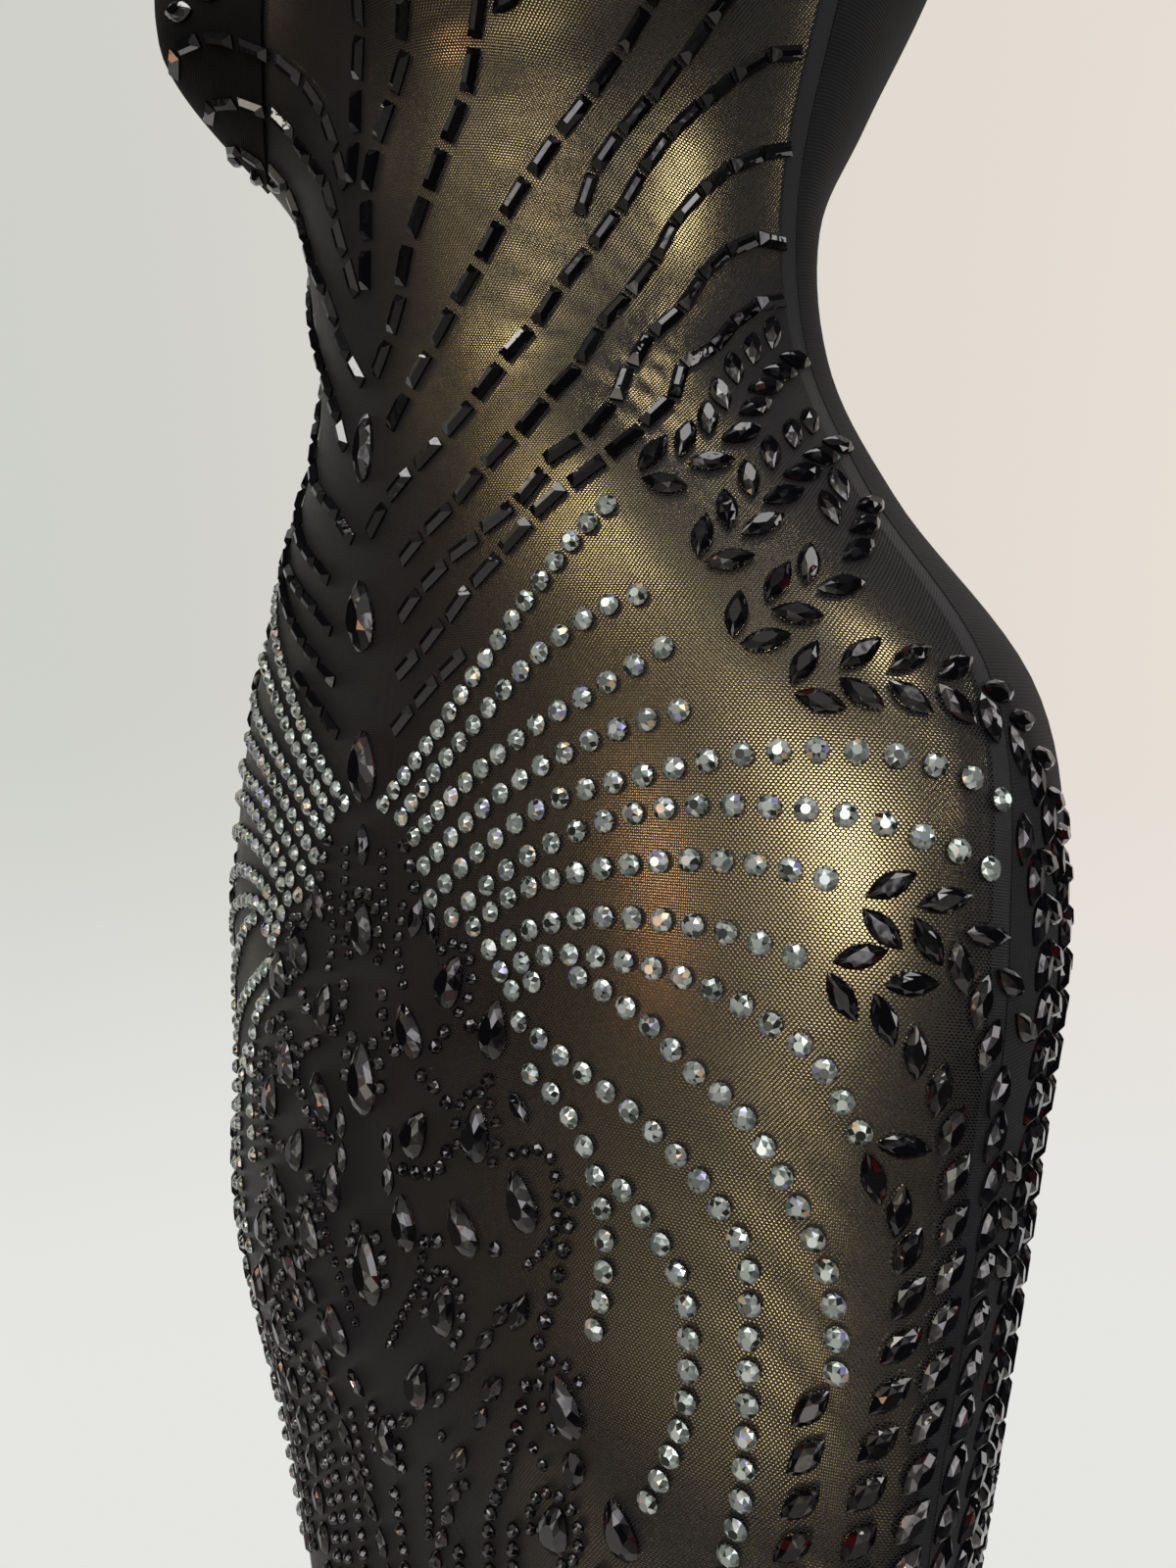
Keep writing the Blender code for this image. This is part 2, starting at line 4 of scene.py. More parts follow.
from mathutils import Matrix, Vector


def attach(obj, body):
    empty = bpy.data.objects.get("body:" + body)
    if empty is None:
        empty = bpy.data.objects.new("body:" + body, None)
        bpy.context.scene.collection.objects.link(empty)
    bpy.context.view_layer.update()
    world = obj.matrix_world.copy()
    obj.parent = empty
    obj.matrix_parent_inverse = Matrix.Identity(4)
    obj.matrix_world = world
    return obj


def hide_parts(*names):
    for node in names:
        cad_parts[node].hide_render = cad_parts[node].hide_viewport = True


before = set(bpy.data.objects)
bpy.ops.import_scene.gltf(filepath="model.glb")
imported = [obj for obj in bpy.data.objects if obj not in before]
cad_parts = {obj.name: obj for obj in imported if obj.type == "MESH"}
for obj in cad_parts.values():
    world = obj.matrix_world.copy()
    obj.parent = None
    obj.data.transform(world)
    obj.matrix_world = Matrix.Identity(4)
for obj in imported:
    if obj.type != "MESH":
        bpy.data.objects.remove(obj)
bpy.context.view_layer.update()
print("frame loaded")

# The gown's outside, hem to neck: height, half width, front, back, middle
gownSections = (
    (0.030, 0.200, -0.152, 0.148, 0.000),
    (0.240, 0.170, -0.124, 0.118, -0.002),
    (0.440, 0.149, -0.100, 0.095, -0.008),
    (0.560, 0.149, -0.093, 0.091, -0.025),
    (0.640, 0.161, -0.097, 0.091, -0.046),
    (0.720, 0.177, -0.110, 0.093, -0.058),
    (0.800, 0.185, -0.114, 0.101, -0.048),
    (0.870, 0.191, -0.114, 0.117, -0.045),
    (0.940, 0.180, -0.114, 0.108, -0.035),
    (1.000, 0.138, -0.115, 0.064, -0.030),
    (1.050, 0.109, -0.112, 0.047, -0.018),
    (1.100, 0.106, -0.119, 0.042, -0.018),
    (1.150, 0.122, -0.122, 0.072, -0.020),
    (1.210, 0.148, -0.122, 0.103, -0.020),
    (1.270, 0.163, -0.116, 0.116, -0.012),
    (1.330, 0.172, -0.088, 0.105, 0.004),
    (1.370, 0.150, -0.062, 0.080, 0.010),
    (1.395, 0.100, -0.050, 0.062, 0.006),
    (1.415, 0.064, -0.048, 0.052, 0.000),
    (1.480, 0.054, -0.050, 0.050, -0.002),
)
gown = {
    "hem": 0.030,
    "top": 1.270,
    "topBend": 1.190,          # the neckline dips only above this height
    "formFoot": 0.560,
    "formNeck": 1.480,
    "bustSide": 0.084,
    "bustHeight": 1.178,
    "bustDepth": 0.052,
    "bustHalfWidth": 0.060,
    "bustRise": 0.110,
    "bustFall": 0.030,
}
# angle from the centre front, how far the top edge dips there
neckline = (
    (0, 0.035), (18, 0.022), (27, 0.0), (54, 0.0), (72, 0.024), (90, 0.034),
    (108, 0.024), (126, 0.0), (153, 0.0), (162, 0.020), (180, 0.040),
)


def curveThrough(knots, values):
    knots = np.array(knots, float)
    values = np.array(values, float)
    slopes = np.gradient(values, knots)

    def curve(at):
        at = np.asarray(at, float)
        low = np.clip(np.searchsorted(knots, at) - 1, 0, len(knots) - 2)
        span = knots[low + 1] - knots[low]
        t = (at - knots[low]) / span
        start = values[low] * (2 * t**3 - 3 * t**2 + 1) + slopes[low] * span * (t**3 - 2 * t**2 + t)
        end = values[low + 1] * (3 * t**2 - 2 * t**3) + slopes[low + 1] * span * (t**3 - t**2)
        return start + end

    return curve


sectionHeights = [row[0] for row in gownSections]
halfWidthAt, frontAt, backAt, middleAt = (
    curveThrough(sectionHeights, [row[k] for row in gownSections]) for k in (1, 2, 3, 4)
)


def bustOut(x, height):
    fall = np.where(height > gown["bustHeight"], gown["bustRise"], gown["bustFall"])
    sides = np.exp(-((x - gown["bustSide"]) / gown["bustHalfWidth"]) ** 2)
    sides += np.exp(-((x + gown["bustSide"]) / gown["bustHalfWidth"]) ** 2)
    return gown["bustDepth"] * sides * np.exp(-((height - gown["bustHeight"]) / fall) ** 2)


def outside(angle, height):
    turn = np.radians(np.asarray(angle, float))
    forward = np.cos(turn)
    middle = middleAt(height)
    depth = np.where(forward > 0, middle - frontAt(height), backAt(height) - middle)
    x = halfWidthAt(height) * np.sin(turn)
    y = middle - depth * forward - bustOut(x, height) * np.sqrt(np.clip(forward, 0, None))
    return np.stack([x, y, np.broadcast_to(height, x.shape)], -1)


# Steps in the cloth for each degree round and each metre up.
def slopesAt(angle, height):
    across = (outside(angle + 0.05, height) - outside(angle - 0.05, height)) / 0.1
    upward = (outside(angle, height + 0.0005) - outside(angle, height - 0.0005)) / 0.001
    return across, upward


def unit(vectors):
    return vectors / np.linalg.norm(vectors, axis=-1, keepdims=True)


# A place with its directions round the body, up the cloth and out of it.
def axesAt(angle, height):
    across, upward = slopesAt(angle, height)
    sideways = unit(across)
    upright = unit(upward - (upward * sideways).sum(-1)[..., None] * sideways)
    return outside(angle, height), sideways, upright, np.cross(sideways, upright)


def cloth(angle, height, out):
    angle = np.asarray(angle, float)
    height = np.asarray(height, float)
    point, _, _, normal = axesAt(angle, height)
    return point + normal * np.asarray(out, float)[..., None]


def beside(angle, height, along, up):
    across, upward = slopesAt(angle, height)
    width = np.linalg.norm(across, axis=-1)
    sideways = across / width[..., None]
    lean = (upward * sideways).sum(-1)
    rise = up / np.linalg.norm(upward - lean[..., None] * sideways, axis=-1)
    return angle + (along - rise * lean) / width, height + rise


def rowHeight(level, angle):
    turn = abs((angle + 180) % 360 - 180)
    dip = np.interp(turn, [row[0] for row in neckline], [row[1] for row in neckline])
    share = np.clip((level - gown["topBend"]) / (gown["top"] - gown["topBend"]), 0, 1)
    return level - dip * share * (level <= gown["top"])


def newMaterial(name, colour, roughness, metallic=0.0, **sockets):
    made = bpy.data.materials.new(name)
    made.use_nodes = True
    shader = made.node_tree.nodes["Principled BSDF"]
    shader.inputs["Base Color"].default_value = (*colour, 1)
    shader.inputs["Roughness"].default_value = roughness
    shader.inputs["Metallic"].default_value = metallic
    for socket, value in sockets.items():
        shader.inputs[socket.replace("_", " ")].default_value = value
    return made, made.node_tree, shader


def addNode(tree, kind, **settings):
    node = tree.nodes.new(kind)
    for key, value in settings.items():
        setattr(node, key, value)
    return node


def plug(tree, value, socket):
    if isinstance(value, (int, float)):
        socket.default_value = value
    else:
        tree.links.new(value, socket)


def sums(tree, operation, *values):
    node = addNode(tree, "ShaderNodeMath", operation=operation)
    for value, socket in zip(values, node.inputs):
        plug(tree, value, socket)
    return node.outputs[0]


def uvPlace(tree):
    place = addNode(tree, "ShaderNodeUVMap", uv_map="UVMap")
    parts = addNode(tree, "ShaderNodeSeparateXYZ")
    tree.links.new(place.outputs[0], parts.inputs[0])
    return place.outputs[0], parts.outputs[0], parts.outputs[1]


def colourSteps(tree, value, steps, smooth=True):
    ramp = addNode(tree, "ShaderNodeValToRGB")
    ramp.color_ramp.interpolation = "LINEAR" if smooth else "CONSTANT"
    points = ramp.color_ramp.elements
    for k, (at, colour) in enumerate(steps):
        point = points[k] if k < 2 else points.new(at)
        point.position = at
        point.color = (*colour, 1)
    tree.links.new(value, ramp.inputs[0])
    return ramp.outputs[0]


def noiseAt(tree, where, scale, detail=2.0):
    noise = addNode(tree, "ShaderNodeTexNoise")
    noise.inputs["Scale"].default_value = scale
    noise.inputs["Detail"].default_value = detail
    tree.links.new(where, noise.inputs["Vector"])
    return noise.outputs["Fac"]


def objectPlace(tree):
    return addNode(tree, "ShaderNodeTexCoord").outputs["Object"]


def bump(tree, shader, height, strength, distance):
    node = addNode(tree, "ShaderNodeBump")
    node.inputs["Strength"].default_value = strength
    node.inputs["Distance"].default_value = distance
    tree.links.new(height, node.inputs["Height"])
    tree.links.new(node.outputs[0], shader.inputs["Normal"])


netLook = {
    "pitchAcross": 0.00098,
    "pitchUp": 0.00078,
    "holeAcross": 0.40,        # half sizes, as shares of the pitch
    "holeUp": 0.42,
    "doubledBand": 0.007,      # where the net is folded back at the seams
    "doubledFill": 0.72,       # how much of each hole the second layer fills there
}


# Net: rows of oval holes set half a step over from each other, drawn in real size on the cloth.
def netMaterial():
    made, tree, shader = newMaterial("net", (0.014, 0.014, 0.016), 0.42, Sheen_Weight=0.03, IOR=1.4)
    shader.inputs["Sheen Roughness"].default_value = 0.4
    where, along, up = uvPlace(tree)
    row = sums(tree, "MULTIPLY", up, 1 / netLook["pitchUp"])
    step = sums(tree, "MULTIPLY", along, 1 / netLook["pitchAcross"])
    odd = sums(tree, "MULTIPLY", sums(tree, "FLOORED_MODULO", sums(tree, "FLOOR", row), 2.0), 0.5)
    x = sums(tree, "SUBTRACT", sums(tree, "FRACT", sums(tree, "ADD", step, odd)), 0.5)
    y = sums(tree, "SUBTRACT", sums(tree, "FRACT", row), 0.5)
    x2 = sums(tree, "POWER", sums(tree, "DIVIDE", sums(tree, "ABSOLUTE", x), netLook["holeAcross"]), 2.0)
    y2 = sums(tree, "POWER", sums(tree, "DIVIDE", sums(tree, "ABSOLUTE", y), netLook["holeUp"]), 2.0)
    far = sums(tree, "ADD", x2, y2)
    edge = addNode(tree, "ShaderNodeAttribute", attribute_name="seamDistance")
    doubled = sums(tree, "LESS_THAN", edge.outputs["Fac"], netLook["doubledBand"])
    reach = sums(tree, "SUBTRACT", 1.0, sums(tree, "MULTIPLY", doubled, netLook["doubledFill"]))
    tree.links.new(sums(tree, "GREATER_THAN", far, reach), shader.inputs["Alpha"])
    steps = ((0.3, (0.012, 0.012, 0.014)), (0.7, (0.019, 0.019, 0.022)))
    toneAndGlint = colourSteps(tree, noiseAt(tree, where, 30.0), steps)
    tree.links.new(toneAndGlint, shader.inputs["Base Color"])
    bump(tree, shader, far, 0.5, 0.0001)
    return made


# Opaque stretch fabric with fine ribs across.
def ribbedMaterial(name, pitch, colour, roughness, sheen):
    made, tree, shader = newMaterial(name, colour, roughness, Sheen_Weight=sheen, IOR=1.25)
    shader.inputs["Sheen Roughness"].default_value = 0.5
    where, along, up = uvPlace(tree)
    ribs = sums(tree, "SINE", sums(tree, "MULTIPLY", up, 2 * np.pi / pitch))
    loops = sums(tree, "SINE", sums(tree, "MULTIPLY", along, 2 * np.pi / (pitch * 0.8)))
    knit = sums(tree, "ADD", ribs, sums(tree, "MULTIPLY", loops, 0.4))
    bump(tree, shader, knit, 0.6, pitch * 0.12)
    light = tuple(channel * 1.9 for channel in colour)
    toneAndGlint = colourSteps(tree, noiseAt(tree, where, 45.0, 4.0), ((0.3, colour), (0.75, light)))
    tree.links.new(toneAndGlint, shader.inputs["Base Color"])
    return made


def goldMaterial(name, roughness):
    made, tree, shader = newMaterial(name, (0.80, 0.65, 0.30), roughness, 1.0)
    where = objectPlace(tree)
    toneAndGlint = colourSteps(tree, noiseAt(tree, where, 9.0), ((0.3, (0.78, 0.62, 0.27)), (0.7, (0.84, 0.69, 0.34))))
    tree.links.new(toneAndGlint, shader.inputs["Base Color"])
    spread = sums(tree, "MULTIPLY", noiseAt(tree, where, 40.0), 0.04)
    tree.links.new(sums(tree, "ADD", spread, roughness - 0.02), shader.inputs["Roughness"])
    bump(tree, shader, noiseAt(tree, where, 60.0, 1.0), 0.06, 0.0003)
    return made


def steelMaterial(name, roughness, colour):
    made, tree, shader = newMaterial(name, colour, roughness, 1.0)
    where = objectPlace(tree)
    spread = sums(tree, "MULTIPLY", noiseAt(tree, where, 320.0, 4.0), 0.14)
    tree.links.new(sums(tree, "ADD", spread, roughness - 0.07), shader.inputs["Roughness"])
    bump(tree, shader, noiseAt(tree, where, 500.0, 3.0), 0.08, 0.0002)
    return made


# Black glass with painted reflections: a random tone for each facet keeps most of them near black, paints some
# as lighter grey reflections and a few as dark red reflections.
def jetMaterial():
    made, tree, shader = newMaterial("jet_glass", (0.003, 0.003, 0.004), 0.04, IOR=1.6)
    toneAndGlint = addNode(tree, "ShaderNodeAttribute", attribute_name="toneAndGlint").outputs["Fac"]
    # Painted reflections: tones past 0.85 give a lighter grey facet, and tones past 0.965 give a dark red one.
    steps = ((0.0, (0.002, 0.002, 0.003)), (0.60, (0.005, 0.005, 0.006)),
             (0.85, (0.014, 0.014, 0.017)), (0.965, (0.030, 0.003, 0.004)))
    tree.links.new(colourSteps(tree, toneAndGlint, steps, smooth=False), shader.inputs["Base Color"])
    tree.links.new(sums(tree, "MULTIPLY_ADD", toneAndGlint, 0.05, 0.02), shader.inputs["Roughness"])
    bump(tree, shader, noiseAt(tree, objectPlace(tree), 320.0, 1.0), 0.30, 0.0003)
    return made


# Clear glass with foil behind, with painted reflections: by its random tone each facet is painted dark, mid or
# bright, and a few get a blue or orange tint.
def clearMaterial():
    made, tree, shader = newMaterial("clear_glass", (0.7, 0.74, 0.72), 0.10, 0.45, IOR=1.6)
    toneAndGlint = addNode(tree, "ShaderNodeAttribute", attribute_name="toneAndGlint").outputs["Fac"]
    # Painted reflections: each step of the tone paints a facet as mirroring dark, mid or bright light, or as a
    # blue or orange glint.
    steps = ((0.0, (0.03, 0.035, 0.03)), (0.12, (0.15, 0.18, 0.17)), (0.36, (0.30, 0.35, 0.33)),
             (0.74, (0.56, 0.62, 0.60)), (0.94, (0.34, 0.32, 0.62)), (0.965, (0.70, 0.50, 0.28)))
    tree.links.new(colourSteps(tree, toneAndGlint, steps, smooth=False), shader.inputs["Base Color"])
    tree.links.new(sums(tree, "MULTIPLY_ADD", toneAndGlint, 0.10, 0.04), shader.inputs["Roughness"])
    return made


netFinish = netMaterial()
backFinish = ribbedMaterial("back_fabric", 0.0011, (0.0045, 0.0045, 0.005), 0.80, 0.05)
cupFinish = ribbedMaterial("cup_fabric", 0.0011, (0.0012, 0.0012, 0.0014), 0.90, 0.01)
strapFinish = ribbedMaterial("strap_fabric", 0.0010, (0.005, 0.005, 0.0055), 0.80, 0.04)
goldFinish = goldMaterial("gold_lacquer", 0.26)
capFinish = goldMaterial("cap_lacquer", 0.30)
jetFinish = jetMaterial()
clearFinish = clearMaterial()
print("materials made")


# Puts a finished piece in the scene, on the one body that the part has.
def keep(obj, finish):
    obj.data.materials.append(finish)
    bpy.context.scene.collection.objects.link(obj)
    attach(obj, "root")
    return obj


sharpAngles = {"cloth": 1.0, "form": 0.9, "stand": 0.6}


# A grid of places as a closed thin sheet: its outside, its inside and a rim between them.
# Its UVs are distances in metres on the cloth, drawn in where a stretched weave is wide.
def sheetMesh(name, angle, height, out, thickness, single=False, stretch=0.0):
    columns, rows = angle.shape
    outer = cloth(angle, height, out)
    inner = cloth(angle, height, out - thickness)
    wide = np.linalg.norm(np.diff(outer, axis=0), axis=2)
    tall = np.linalg.norm(np.diff(outer, axis=1), axis=2)
    along = np.concatenate([np.zeros((1, rows)), np.cumsum(wide, axis=0)])
    edge = np.minimum(along, along[-1] - along)
    along = (along - along[-1] / 2) * (along[-1].min() / along[-1]) ** stretch
    up = np.concatenate([np.zeros((columns, 1)), np.cumsum(tall, axis=1)], axis=1)
    index = np.arange(columns * rows).reshape(columns, rows)
    quads = np.stack([index[:-1, :-1], index[1:, :-1], index[1:, 1:], index[:-1, 1:]], -1).reshape(-1, 4)
    points = outer.reshape(-1, 3)
    faces = quads
    if not single:
        count = columns * rows
        ring = np.concatenate([index[:-1, 0], index[-1, :-1], index[:0:-1, -1], index[0, :0:-1]])
        after = np.roll(ring, -1)
        rim = np.stack([after, ring, ring + count, after + count], -1)
        points = np.concatenate([points, inner.reshape(-1, 3)])
        faces = np.concatenate([quads, quads[:, ::-1] + count, rim])
        along, up, edge = (np.concatenate([part.reshape(-1)] * 2) for part in (along, up, edge))
    mesh = meshFrom(name, points, faces)
    corners = faces.reshape(-1)
    uv = np.stack([along.reshape(-1)[corners], up.reshape(-1)[corners]], -1)
    mesh.uv_layers.new(name="UVMap").data.foreach_set("uv", uv.reshape(-1).astype(np.float32))
    mark = mesh.attributes.new("seamDistance", "FLOAT", "POINT")
    mark.data.foreach_set("value", edge.reshape(-1).astype(np.float32))
    mesh.shade_smooth()
    mesh.set_sharp_from_angle(angle=sharpAngles["cloth"])
    return bpy.data.objects.new(name, mesh)


def meshFrom(name, points, faces):
    mesh = bpy.data.meshes.new(name)
    mesh.from_pydata(np.asarray(points, float).tolist(), [], [list(face) for face in faces])
    mesh.update()
    return mesh


panels = {
    "frontColumns": 121,
    "backColumns": 121,
    "rows": 190,
    "netOut": -0.0002,
    "netThickness": 0.0003,
    "netStretch": 0.85,        # 0 keeps the weave's width, 1 keeps its count of holes
    "backThickness": 0.0008,
    "seamGap": 0.10,           # degrees between the two panels' edges
    "creaseDepth": 0.00022,
    # middle and spread round, middle and spread up, slant for each degree, pitch, sway and its pace
    "creases": (
        (66, 16, 0.80, 0.10, 0.0011, 0.017, 2.2, 9),
        (44, 20, 1.055, 0.05, -0.0016, 0.013, 1.7, 6),
    ),
}


# Soft creases where the stretched net pulls at the seam and the waist.
def creases(angle, height):
    turn = np.abs(angle)
    total = 0
    for middle, spread, level, tall, slant, pitch, sway, pace in panels["creases"]:
        near = np.exp(-((turn - middle) / spread) ** 2) * np.exp(-((height - level) / tall) ** 2)
        wave = np.sin(2 * np.pi * (height + turn * slant) / pitch + sway * np.sin(turn / pace))
        total = total + near * wave
    return panels["creaseDepth"] * total


def panelGrid(first, last, columns):
    angles = np.linspace(first, last, columns)
    levels = np.linspace(gown["hem"], gown["top"], panels["rows"])
    angle, level = np.meshgrid(angles, levels, indexing="ij")
    return angle, rowHeight(level, angle)


# The net is two skins with a core between them, so that its threads show some depth.
halfGap, thickness, stretch = panels["seamGap"] / 2, panels["netThickness"], panels["netStretch"]
angle, height = panelGrid(-90 + halfGap, 90 - halfGap, panels["frontColumns"])
netFolds = panels["netOut"] + creases(angle, height)
netPanel = keep(sheetMesh("netPanel", angle, height, netFolds, thickness, False, stretch), netFinish)
coreOut = netFolds - thickness / 2
netCore = keep(sheetMesh("netCore", angle, height, coreOut, 0, True, stretch), netFinish)
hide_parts("front_net_panel")

angle, height = panelGrid(90 + halfGap, 270 - halfGap, panels["backColumns"])
backSheet = sheetMesh("backPanel", angle, height, np.zeros(angle.shape), panels["backThickness"])
backPanel = keep(backSheet, backFinish)
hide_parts("back_panel")

cups = {
    "angle": 36.0,
    "halfAngle": 29.0,
    "height": 1.188,
    "drop": 0.046,
    "top": 1.232,
    "thickness": 0.0012,
    "lift": 0.0001,
    "columns": 49,
    "rows": 33,
}


def cupFoot(angle):
    turn = np.clip((np.abs(angle) - cups["angle"]) / cups["halfAngle"], -1, 1)
    return cups["height"] - cups["drop"] * np.sqrt(1 - turn**2)


for side, name in ((1, "cupLeft"), (-1, "cupRight")):
    turns = np.linspace(np.pi, 0, cups["columns"]) if side > 0 else np.linspace(0, np.pi, cups["columns"])
    angles = side * (cups["angle"] + (cups["halfAngle"] - 0.01) * np.cos(turns))
    share = np.linspace(0, 1, cups["rows"])
    angle = np.repeat(angles[:, None], cups["rows"], axis=1)
    height = cupFoot(angle) + (cups["top"] - cupFoot(angle)) * share[None, :]
    lift = np.full(angle.shape, cups["lift"] + cups["thickness"])
    piece = keep(sheetMesh(name, angle, height, lift, cups["thickness"]), cupFinish)
    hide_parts("cup_left" if side > 0 else "cup_right")

straps = {
    "inner": 0.077,
    "outer": 0.113,
    "columns": 13,
    "rows": 70,
    "out": 0.0006,
    "thickness": 0.0012,
    "foot": 1.2704,
    "crestBelow": 1.43,        # the shoulder's height is looked for up to here, in so many steps
    "crestSteps": 600,
}

for side, name in ((1, "strapLeft"), (-1, "strapRight")):
    across = np.linspace(straps["inner"], straps["outer"], straps["columns"])
    levels = np.linspace(gown["top"], straps["crestBelow"], straps["crestSteps"])
    crests = np.array([levels[np.nonzero(halfWidthAt(levels) > x)[0][-1]] for x in across])
    turns = np.linspace(-np.pi / 2, np.pi / 2, straps["rows"])
    height = straps["foot"] + (crests[:, None] - straps["foot"]) * np.cos(turns)[None, :]
    lean = np.degrees(np.arcsin(np.minimum(1.0, across[:, None] / halfWidthAt(height))))
    angle = side * np.where(turns[None, :] < 0, lean, 180 - lean)
    if side < 0:
        angle, height = angle[::-1], height[::-1]
    lift = np.full(angle.shape, straps["out"])
    piece = keep(sheetMesh(name, angle, height, lift, straps["thickness"]), strapFinish)
    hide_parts("strap_left" if side > 0 else "strap_right")


form = {"columns": 160, "rows": 180, "out": -0.0010}


# The form: closed at its foot and neck, all of it just inside the cloth.
def formMesh(name):
    columns, rows = form["columns"], form["rows"]
    angles = np.linspace(-180, 180, columns + 1)[:-1]
    levels = np.linspace(gown["formFoot"], gown["formNeck"], rows)
    angle, level = np.meshgrid(angles, levels, indexing="ij")
    points = cloth(angle, level, np.full(angle.shape, form["out"]))
    for row in (0, -1):
        points[:, row, 2] = points[:, row, 2].mean()
    index = np.arange(columns * rows).reshape(columns, rows)
    turned = np.roll(index, -1, axis=0)
    quads = np.stack([index[:, :-1], turned[:, :-1], turned[:, 1:], index[:, 1:]], -1).reshape(-1, 4)
    foot, neck = points[:, 0].mean(axis=0), points[:, -1].mean(axis=0)
    last = columns * rows
    fans = [[b, a, last] for a, b in zip(index[:, 0], turned[:, 0])]
    fans += [[a, b, last + 1] for a, b in zip(index[:, -1], turned[:, -1])]
    mesh = meshFrom(name, np.concatenate([points.reshape(-1, 3), [foot, neck]]), quads.tolist() + fans)
    mesh.shade_smooth()
    mesh.set_sharp_from_angle(angle=sharpAngles["form"])
    return bpy.data.objects.new(name, mesh)


formTorso = keep(formMesh("formTorso"), goldFinish)
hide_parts("form_torso")
for node, finish in (
    ("form_neck_cap", capFinish),
    ("stand_pole", steelMaterial("pole_steel", 0.16, (0.62, 0.62, 0.63))),
    ("stand_base", steelMaterial("base_steel", 0.32, (0.58, 0.58, 0.60))),
):
    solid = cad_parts[node]
    solid.data.materials.clear()
    solid.data.materials.append(finish)
    solid.data.shade_smooth()
    solid.data.set_sharp_from_angle(angle=sharpAngles["stand"])
print("cloth and form made")

# The cuts of stones: length, width, rise, how much of the outline the flat top takes, corners of the cut
cuts = {
    "leaf": (0.0140, 0.0064, 0.0030, 0.50, 8),
    "centrePear": (0.0240, 0.0150, 0.0045, 0.50, 10),
    "slimPear": (0.0240, 0.0090, 0.0040, 0.50, 10),
    "pear": (0.0180, 0.0110, 0.0038, 0.50, 10),
    "smallPear": (0.0125, 0.0078, 0.0030, 0.50, 8),
    "smallLeaf": (0.0110, 0.0052, 0.0026, 0.50, 6),
    "bar": (0.0118, 0.0043, 0.0028, 0.0, 4),
    "clearRound": (0.0064, 0.0064, 0.0026, 0.42, 8),
    "jetRound": (0.0048, 0.0048, 0.0026, 0.44, 6),
    "jetDot": (0.0037, 0.0037, 0.0021, 0.44, 6),
}


def isLeaf(cut):
    return cut.lower().endswith("leaf")


def isPear(cut):
    return cut.lower().endswith("pear")


def outlineOf(cut, turn):
    if isLeaf(cut):
        return np.sin(turn) * np.abs(np.sin(turn)) / 2, np.cos(turn) / 2
    if isPear(cut):
        return np.sin(turn) * (1 - 0.35 * np.cos(turn)) / 2.1, np.cos(turn) / 2
    return np.sin(turn) / 2, np.cos(turn) / 2


# A cut stone of unit size: flat top, star and kite facets, a thin edge and a flat back.
def facetedStone(cut):
    _, _, _, table, corners = cuts[cut]
    if cut == "bar":
        return barStone()
    rings = []
    for share, level, shift, count in (
        (table, 1.0, 0.0, corners), (0.80, 0.66, 0.5, corners),
        (1.0, 0.30, 0.0, 2 * corners), (0.97, 0.0, 0.0, 2 * corners),
    ):
        turn = (np.arange(count) + shift) * 2 * np.pi / count
        x, y = outlineOf(cut, turn)
        rings.append(np.stack([x * share, y * share, np.full(count, level)], -1))
    n = corners
    top, mid, edge, back = 0, n, 2 * n, 4 * n
    faces = [list(range(n))[::-1]]
    for k in range(n):
        after = (k + 1) % n
        faces.append([top + k, top + after, mid + k][::-1])
        faces.append([top + k, mid + k, edge + 2 * k, mid + (k - 1) % n][::-1])
        faces.append([mid + k, edge + 2 * k + 1, edge + 2 * k][::-1])
        faces.append([mid + k, edge + (2 * k + 2) % (2 * n), edge + 2 * k + 1][::-1])
    for k in range(2 * n):
        after = (k + 1) % (2 * n)
        faces.append([edge + k, edge + after, back + after, back + k][::-1])
    faces.append([back + k for k in range(2 * n)])
    return np.concatenate(rings), faces


# A bar: a flat top with bevels along its sides and two steps at each end.
def barStone():
    points = []
    for half, long, level in ((0.5, 0.5, 0.0), (0.5, 0.5, 0.30), (0.17, 0.31, 1.0)):
        points += [(-half, -long, level), (half, -long, level), (half, long, level), (-half, long, level)]
    faces = [[3, 2, 1, 0], [8, 9, 10, 11]]
    for low in (0, 4):
        for k in range(4):
            after = (k + 1) % 4
            faces.append([low + k, low + after, low + 4 + after, low + 4 + k])
    return np.array(points), faces


stoneLook = {
    "reach": 0.03,             # no stone reaches further than this up or down
    "sink": 0.0001,            # how deep its back sits in the cloth
    "leanJitter": 2.0,
    "tiltJitter": 0.03,
    # Painted reflections: tones over this are the lighter and coloured painted glints of the glass finishes.
    "glintCap": 0.84,         # tones over this have a colour, which flat tops and bars don't take
}
placed = {cut: [] for cut in cuts}
discPoints = np.zeros((0, 3))
discSizes = np.zeros(0)


# How much of its full width a stone keeps near its tail, in its middle and near its point.
def widthShares(cut):
    if isLeaf(cut):
        return np.array([0.64, 1.0, 0.64])
    if isPear(cut):
        return np.array([0.90, 1.0, 0.60])
    if "Round" in cut or "Dot" in cut:
        return np.array([0.40, 1.0, 0.40])
    return np.ones(3)


